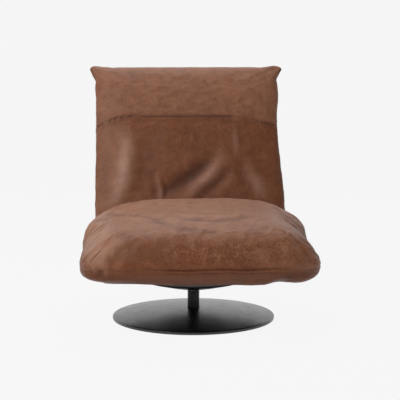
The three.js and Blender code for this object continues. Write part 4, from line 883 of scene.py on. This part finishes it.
def maths(tree, kind, first, second, clamp=False):
    node = add(tree, "ShaderNodeMath", {"operation": kind, "use_clamp": clamp})
    for at, value in enumerate((first, second)):
        put(tree, node.inputs[at], value)
    return node.outputs[0]


def times(tree, first, second, clamp=False):
    return maths(tree, "MULTIPLY", first, second, clamp)


def bump(tree, height, strength, distance, **under):
    return add(tree, "ShaderNodeBump", Height=height, Strength=strength, Distance=distance, **under).outputs["Normal"]


leather = {
    # colours; the palest also serve as painted light and highlight, the darkest crease tone as painted shade in folds
    # and seams
    "dark": srgb(80, 39, 16), "middle": srgb(112, 61, 33), "light": srgb(138, 86, 56), "pale": srgb(158, 115, 92),
    "creaseShade": srgb(56, 28, 14), "fleck": srgb(160, 118, 92), "rust": srgb(106, 52, 24), "shine": srgb(174, 142, 129),
    # each field's scale, detail, roughness and distortion
    "fields": {
        "clouds": (7.5, 4, 0.6, 0.4), "mottle": (30, 8, 0.66, 0.5), "speckle": (130, 6, 0.7),
        "patches": (26, 5, 0.7, 0.3), "scratches": (180, 4, 0.8), "flecks": (240, 3, 0.7), "pores": (900, 2, 0.6),
        "creases": (55, 6, 0.62, 1.4),
    },
    # shares of the mottle and the speckle in the ground colour, and of the patches in what is scuffed
    "mottled": 0.55, "speckled": 0.25, "patchy": 0.42,
    # how strongly each layer shows, and how much the mottle is raised where it breaks up a layer
    "darker": 0.55, "rusty": 0.7, "rubbed": 0.48, "flecked": 0.35, "shiny": 0.8, "ridge": 0.35, "valley": -0.6,
    "sewn": 0.85, "raisePale": 0.1, "raiseShine": 0.15,
    # how rough it is, and its grain: cells to a metre; each bump's strength and depth
    "roughness": 0.47, "grain": 330, "cellEdge": 0.16, "soft": (0.24, 0.0035), "fine": (0.25, 0.0006),
    "cells": (0.35, 0.0007), "sheen": 0.06, "sheenRoughness": 0.4, "specular": 0.24,
}


# The ground colour is clouds, mottle within them and speckle; then each layer is mixed over it by its share
def makeLeather():
    own = leather
    material, tree, shader = newMaterial("waxed_leather")
    place = objectPlace(tree)
    clouds, mottle, speckle, patches, scratches, flecks, pores, creases = (
        noise(tree, place, *settings) for settings in own["fields"].values())
    tones = [(0.3, own["dark"]), (0.5, own["middle"]), (0.72, own["light"])]
    colour = mix(tree, own["mottled"], ramp(tree, clouds, tones), ramp(tree, mottle, tones))
    colour = mix(tree, own["speckled"], colour, ramp(tree, speckle, [(0.38, own["dark"]), (0.62, own["light"])]))
    broken = maths(tree, "ADD", times(tree, patches, own["patchy"]), times(tree, scratches, 1 - own["patchy"]))
    faded, deep, scuffed, shine, fold, seam = (
        attribute(tree, name) for name in ("faded", "deep", "scuffed", "shine", "fold", "seam"))
    # paler as painted light where it faces up or towards the key light, with some real fading on the seat's top;
    # darker below as painted shade; rust-dark and broken up where it is scuffed
    layers = [
        (times(tree, faded, maths(tree, "ADD", mottle, own["raisePale"]), True), "pale"),
        (times(tree, deep, own["darker"]), "dark"),
        (times(tree, times(tree, scuffed, greys(tree, broken, 0.46, 0.56)), own["rusty"]), "rust"),
        (times(tree, times(tree, scuffed, greys(tree, broken, 0.4, 0.52, 1, 0)), own["rubbed"]), "fleck"),
        (times(tree, greys(tree, flecks, 0.6, 0.76), own["flecked"]), "fleck"),
        # painted highlight along the back's ridges
        (times(tree, times(tree, shine, maths(tree, "ADD", mottle, own["raiseShine"]), True), own["shiny"]), "shine"),
        # painted highlight on fold ridges; painted shade in fold valleys and seam grooves
        (times(tree, fold, own["ridge"], True), "pale"),
        (times(tree, fold, own["valley"], True), "creaseShade"),
        (times(tree, seam, own["sewn"], True), "creaseShade"),
    ]
    for share, name in layers:
        colour = mix(tree, share, colour, own[name])
    # grain: cells over finer pores over long soft creases
    cells = add(tree, "ShaderNodeTexVoronoi", {"feature": "DISTANCE_TO_EDGE"}, Vector=place, Scale=own["grain"])
    cells = greys(tree, cells.outputs["Distance"], 0.0, own["cellEdge"])
    fine = bump(tree, pores, *own["fine"], Normal=bump(tree, creases, *own["soft"]))
    rough = greys(tree, mottle, 0.3, 0.7, own["roughness"] - 0.07, own["roughness"] + 0.08)
    dress(tree, shader, {
        "Base Color": colour, "Roughness": rough, "Normal": bump(tree, cells, *own["cells"], Normal=fine),
        "Sheen Weight": own["sheen"], "Sheen Roughness": own["sheenRoughness"],
        "Specular IOR Level": own["specular"]})
    return material


def makeBlackMetal(name="black_powder_coat", specular=0.58, coat=0.32):
    material, tree, shader = newMaterial(name)
    place = objectPlace(tree)
    tones = [(0.3, srgb(21, 22, 25)), (0.7, srgb(27, 28, 31))]
    dress(tree, shader, {
        "Base Color": ramp(tree, noise(tree, place, 9, 3), tones),
        "Roughness": greys(tree, noise(tree, place, 30, 4), 0.3, 0.7, 0.30, 0.38),
        "Normal": bump(tree, noise(tree, place, 900, 2, 0.6), 0.12, 0.0004),
        "Specular IOR Level": specular, "Coat Weight": coat, "Coat Roughness": 0.22})
    return material


# Plain stuff: one clouded tone, its roughness 0.07 either way, and a grain
def makePlain(name, dark, light, roughness, metallic=0.0, scale=60, grain=700, strength=0.2, depth=0.0003):
    material, tree, shader = newMaterial(name)
    place = objectPlace(tree)
    cloud = noise(tree, place, scale, 5, 0.6)
    dress(tree, shader, {
        "Base Color": ramp(tree, cloud, [(0.3, dark), (0.7, light)]), "Metallic": metallic,
        "Roughness": greys(tree, cloud, 0.3, 0.7, roughness - 0.07, roughness + 0.07),
        "Normal": bump(tree, noise(tree, place, grain, 2, 0.6), strength, depth)})
    return material


# Woven cloth: two crossed bands of threads in the object's X and Y
def makeWoven(name, dark, light, threads, roughness):
    material, tree, shader = newMaterial(name)
    place = objectPlace(tree)
    over, under = (
        add(tree, "ShaderNodeTexWave", {"bands_direction": way}, Vector=place, Scale=threads, Distortion=0.6)
        for way in "XY")
    weave = times(tree, over.outputs["Fac"], under.outputs["Fac"])
    dress(tree, shader, {
        "Base Color": ramp(tree, weave, [(0.1, dark), (0.8, light)]), "Roughness": roughness,
        "Normal": bump(tree, weave, 0.5, 0.0006)})
    return material


looks = {
    "leather": makeLeather(),
    "black_metal": makeBlackMetal(),
    "bare_steel": makePlain("zinc_steel", srgb(150, 152, 150), srgb(190, 192, 188), 0.34, metallic=1.0, scale=40,
                            grain=500, strength=0.12),
    "nylon": makePlain("moulded_nylon", srgb(214, 211, 200), srgb(228, 226, 216), 0.5),
    "rubber": makePlain("black_rubber", srgb(24, 24, 24), srgb(34, 34, 33), 0.78, scale=90, grain=900, strength=0.35),
    "webbing": makeWoven("woven_webbing", srgb(28, 27, 25), srgb(66, 62, 56), 260, 0.9),
    "cushion_foam": makePlain("cushion_foam", srgb(214, 200, 160), srgb(232, 222, 190), 0.95, scale=120, grain=420,
                              strength=0.7, depth=0.0012),
    "black_cloth": makeWoven("black_cloth", srgb(12, 12, 12), srgb(30, 30, 31), 420, 0.95),
}
threadLook = makePlain("waxed_thread", srgb(66, 38, 26), srgb(98, 60, 42), 0.6, scale=800, grain=2500, strength=0.4,
                       depth=0.0002)

# the first slot one of whose words is in a node's name is its own
slotWords = {
    "leather": ("seat_cover", "back_cover"), "cushion_foam": ("foam",), "black_cloth": ("dust",),
    "webbing": ("strap",), "rubber": ("pad", "stop"), "nylon": ("bush",),
    "bare_steel": ("bolt", "screw", "spring", "clip", "pin", "spindle", "washer", "base_plate"),
    "black_metal": ("base_cover", "column", "bracket", "seat_plate", "pan", "tube", "rail"),
}


def slotOf(name):
    return next(slot for slot, words in slotWords.items() if any(word in name for word in words))


def paint(material, *pieces):
    for made in pieces:
        made.data.materials.clear()
        made.data.materials.append(material)


for name, node in nodes.items():
    for slot in node.material_slots:
        slot.material = looks[slotOf(name)]
paint(looks["leather"], seatLeather, backLeather)
paint(looks["black_metal"], domePiece, panPiece)
paint(makeBlackMetal("black_post", 0.3, 0), columnPiece)
paint(looks["bare_steel"], *(made for made, _, _ in springs.values()))
paint(threadLook, *stitches)
paint(looks["black_cloth"], dustPiece)
print("materials set")


# Each piece moves with its body, and stands for the plain solids that it covers
def fit(made, body, slot, *stands):
    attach(made, body)
    if stands:
        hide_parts(*stands)


fit(seatLeather, "seat", "leather", "seat_cover", "seat_foam")
fit(backLeather, "seat", "leather", "back_cover", "back_foam")
fit(domePiece, "base", "black_metal", "base_cover")
fit(columnPiece, "base", "black_metal", "column")
fit(panPiece, "seat", "black_metal", "mechanism_pan")
fit(dustPiece, "seat", "black_cloth", "dust_cover")
for made in stitches:
    fit(made, "seat", "leather")
for name, (made, low, high) in springs.items():
    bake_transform(made)
    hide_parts(name)
print("pieces fitted to their bodies")


# Studio: a pale floor that runs up into a backdrop, soft lights, and an even pale surround
studio = {
    "half": 9.0, "depth": 7.0, "bend": 2.5, "height": 8.0, "tone": srgb(247, 247, 247)[0], "show": 0.975,
    "paper": 0.86, "paperRoughness": 0.95, "paperSpecular": 0.1, "surround": 0.31,
}
# each lamp's place, what it looks at, its size and its power
lamps = {
    "key": ((-2.6, -2.2, 3.0), (0, 0, 0.45), (2.0, 2.0), 100),
    "fill": ((3.0, -3.2, 1.6), (0, 0, 0.35), (2.2, 2.2), 17),
    "over": ((-0.3, 1.2, 3.4), (0, -0.1, 0.4), (2.4, 1.6), 60),
}


def makeBackdrop():
    half, depth, bend = studio["half"], studio["depth"], studio["bend"]
    curve = arc((depth - bend, bend), bend, -90, 0, 24)
    profile = np.concatenate([[[-half, 0.0]], curve, [[depth, studio["height"]]]])
    points = np.stack(np.broadcast_arrays([[-half], [half]], *profile.T), -1).reshape(-1, 3)
    made = makeMesh("backdrop", points, gridQuads(2, len(profile)))
    material, tree, shader = newMaterial("pale_paper")
    dress(tree, shader, {"Base Color": (*grey(studio["paper"]), 1), "Roughness": studio["paperRoughness"],
                         "Specular IOR Level": studio["paperSpecular"]})
    path = add(tree, "ShaderNodeLightPath")
    seen = maths(tree, "MAXIMUM", path.outputs["Is Camera Ray"], path.outputs["Is Glossy Ray"])
    even = add(tree, "ShaderNodeEmission", Color=(*grey(studio["tone"]), 1), Strength=1.0)
    blend = add(tree, "ShaderNodeMixShader", Fac=times(tree, seen, studio["show"]))
    output = next(n for n in tree.nodes if n.type == "OUTPUT_MATERIAL")
    for target, source in ((blend.inputs[1], shader.outputs["BSDF"]), (blend.inputs[2], even.outputs["Emission"]),
                           (output.inputs["Surface"], blend.outputs["Shader"])):
        put(tree, target, source)
    paint(material, made)


def makeLamp(name, place, aim, size, power):
    data = bpy.data.lights.new(name, "AREA")
    data.shape = "RECTANGLE"
    data.size, data.size_y = size
    data.energy = power
    made = bpy.data.objects.new(name, data)
    bpy.context.scene.collection.objects.link(made)
    made.location = place
    made.rotation_euler = (Vector(aim) - Vector(place)).to_track_quat("-Z", "Y").to_euler()


# Lights at a third, and shows the backdrop's own tone where the backdrop ends
def makeSurround():
    world = bpy.data.worlds.new("surround")
    world.use_nodes = True
    tree = world.node_tree
    background = tree.nodes["Background"]
    background.inputs["Color"].default_value = (*grey(studio["tone"]), 1)
    seen = add(tree, "ShaderNodeLightPath").outputs["Is Camera Ray"]
    strength = maths(tree, "ADD", studio["surround"], times(tree, seen, 1 - studio["surround"]))
    put(tree, background.inputs["Strength"], strength)
    bpy.context.scene.world = world


makeBackdrop()
for name, settings in lamps.items():
    makeLamp(name, *settings)
makeSurround()
bpy.context.scene.view_settings.view_transform = "Standard"
print("studio lit")
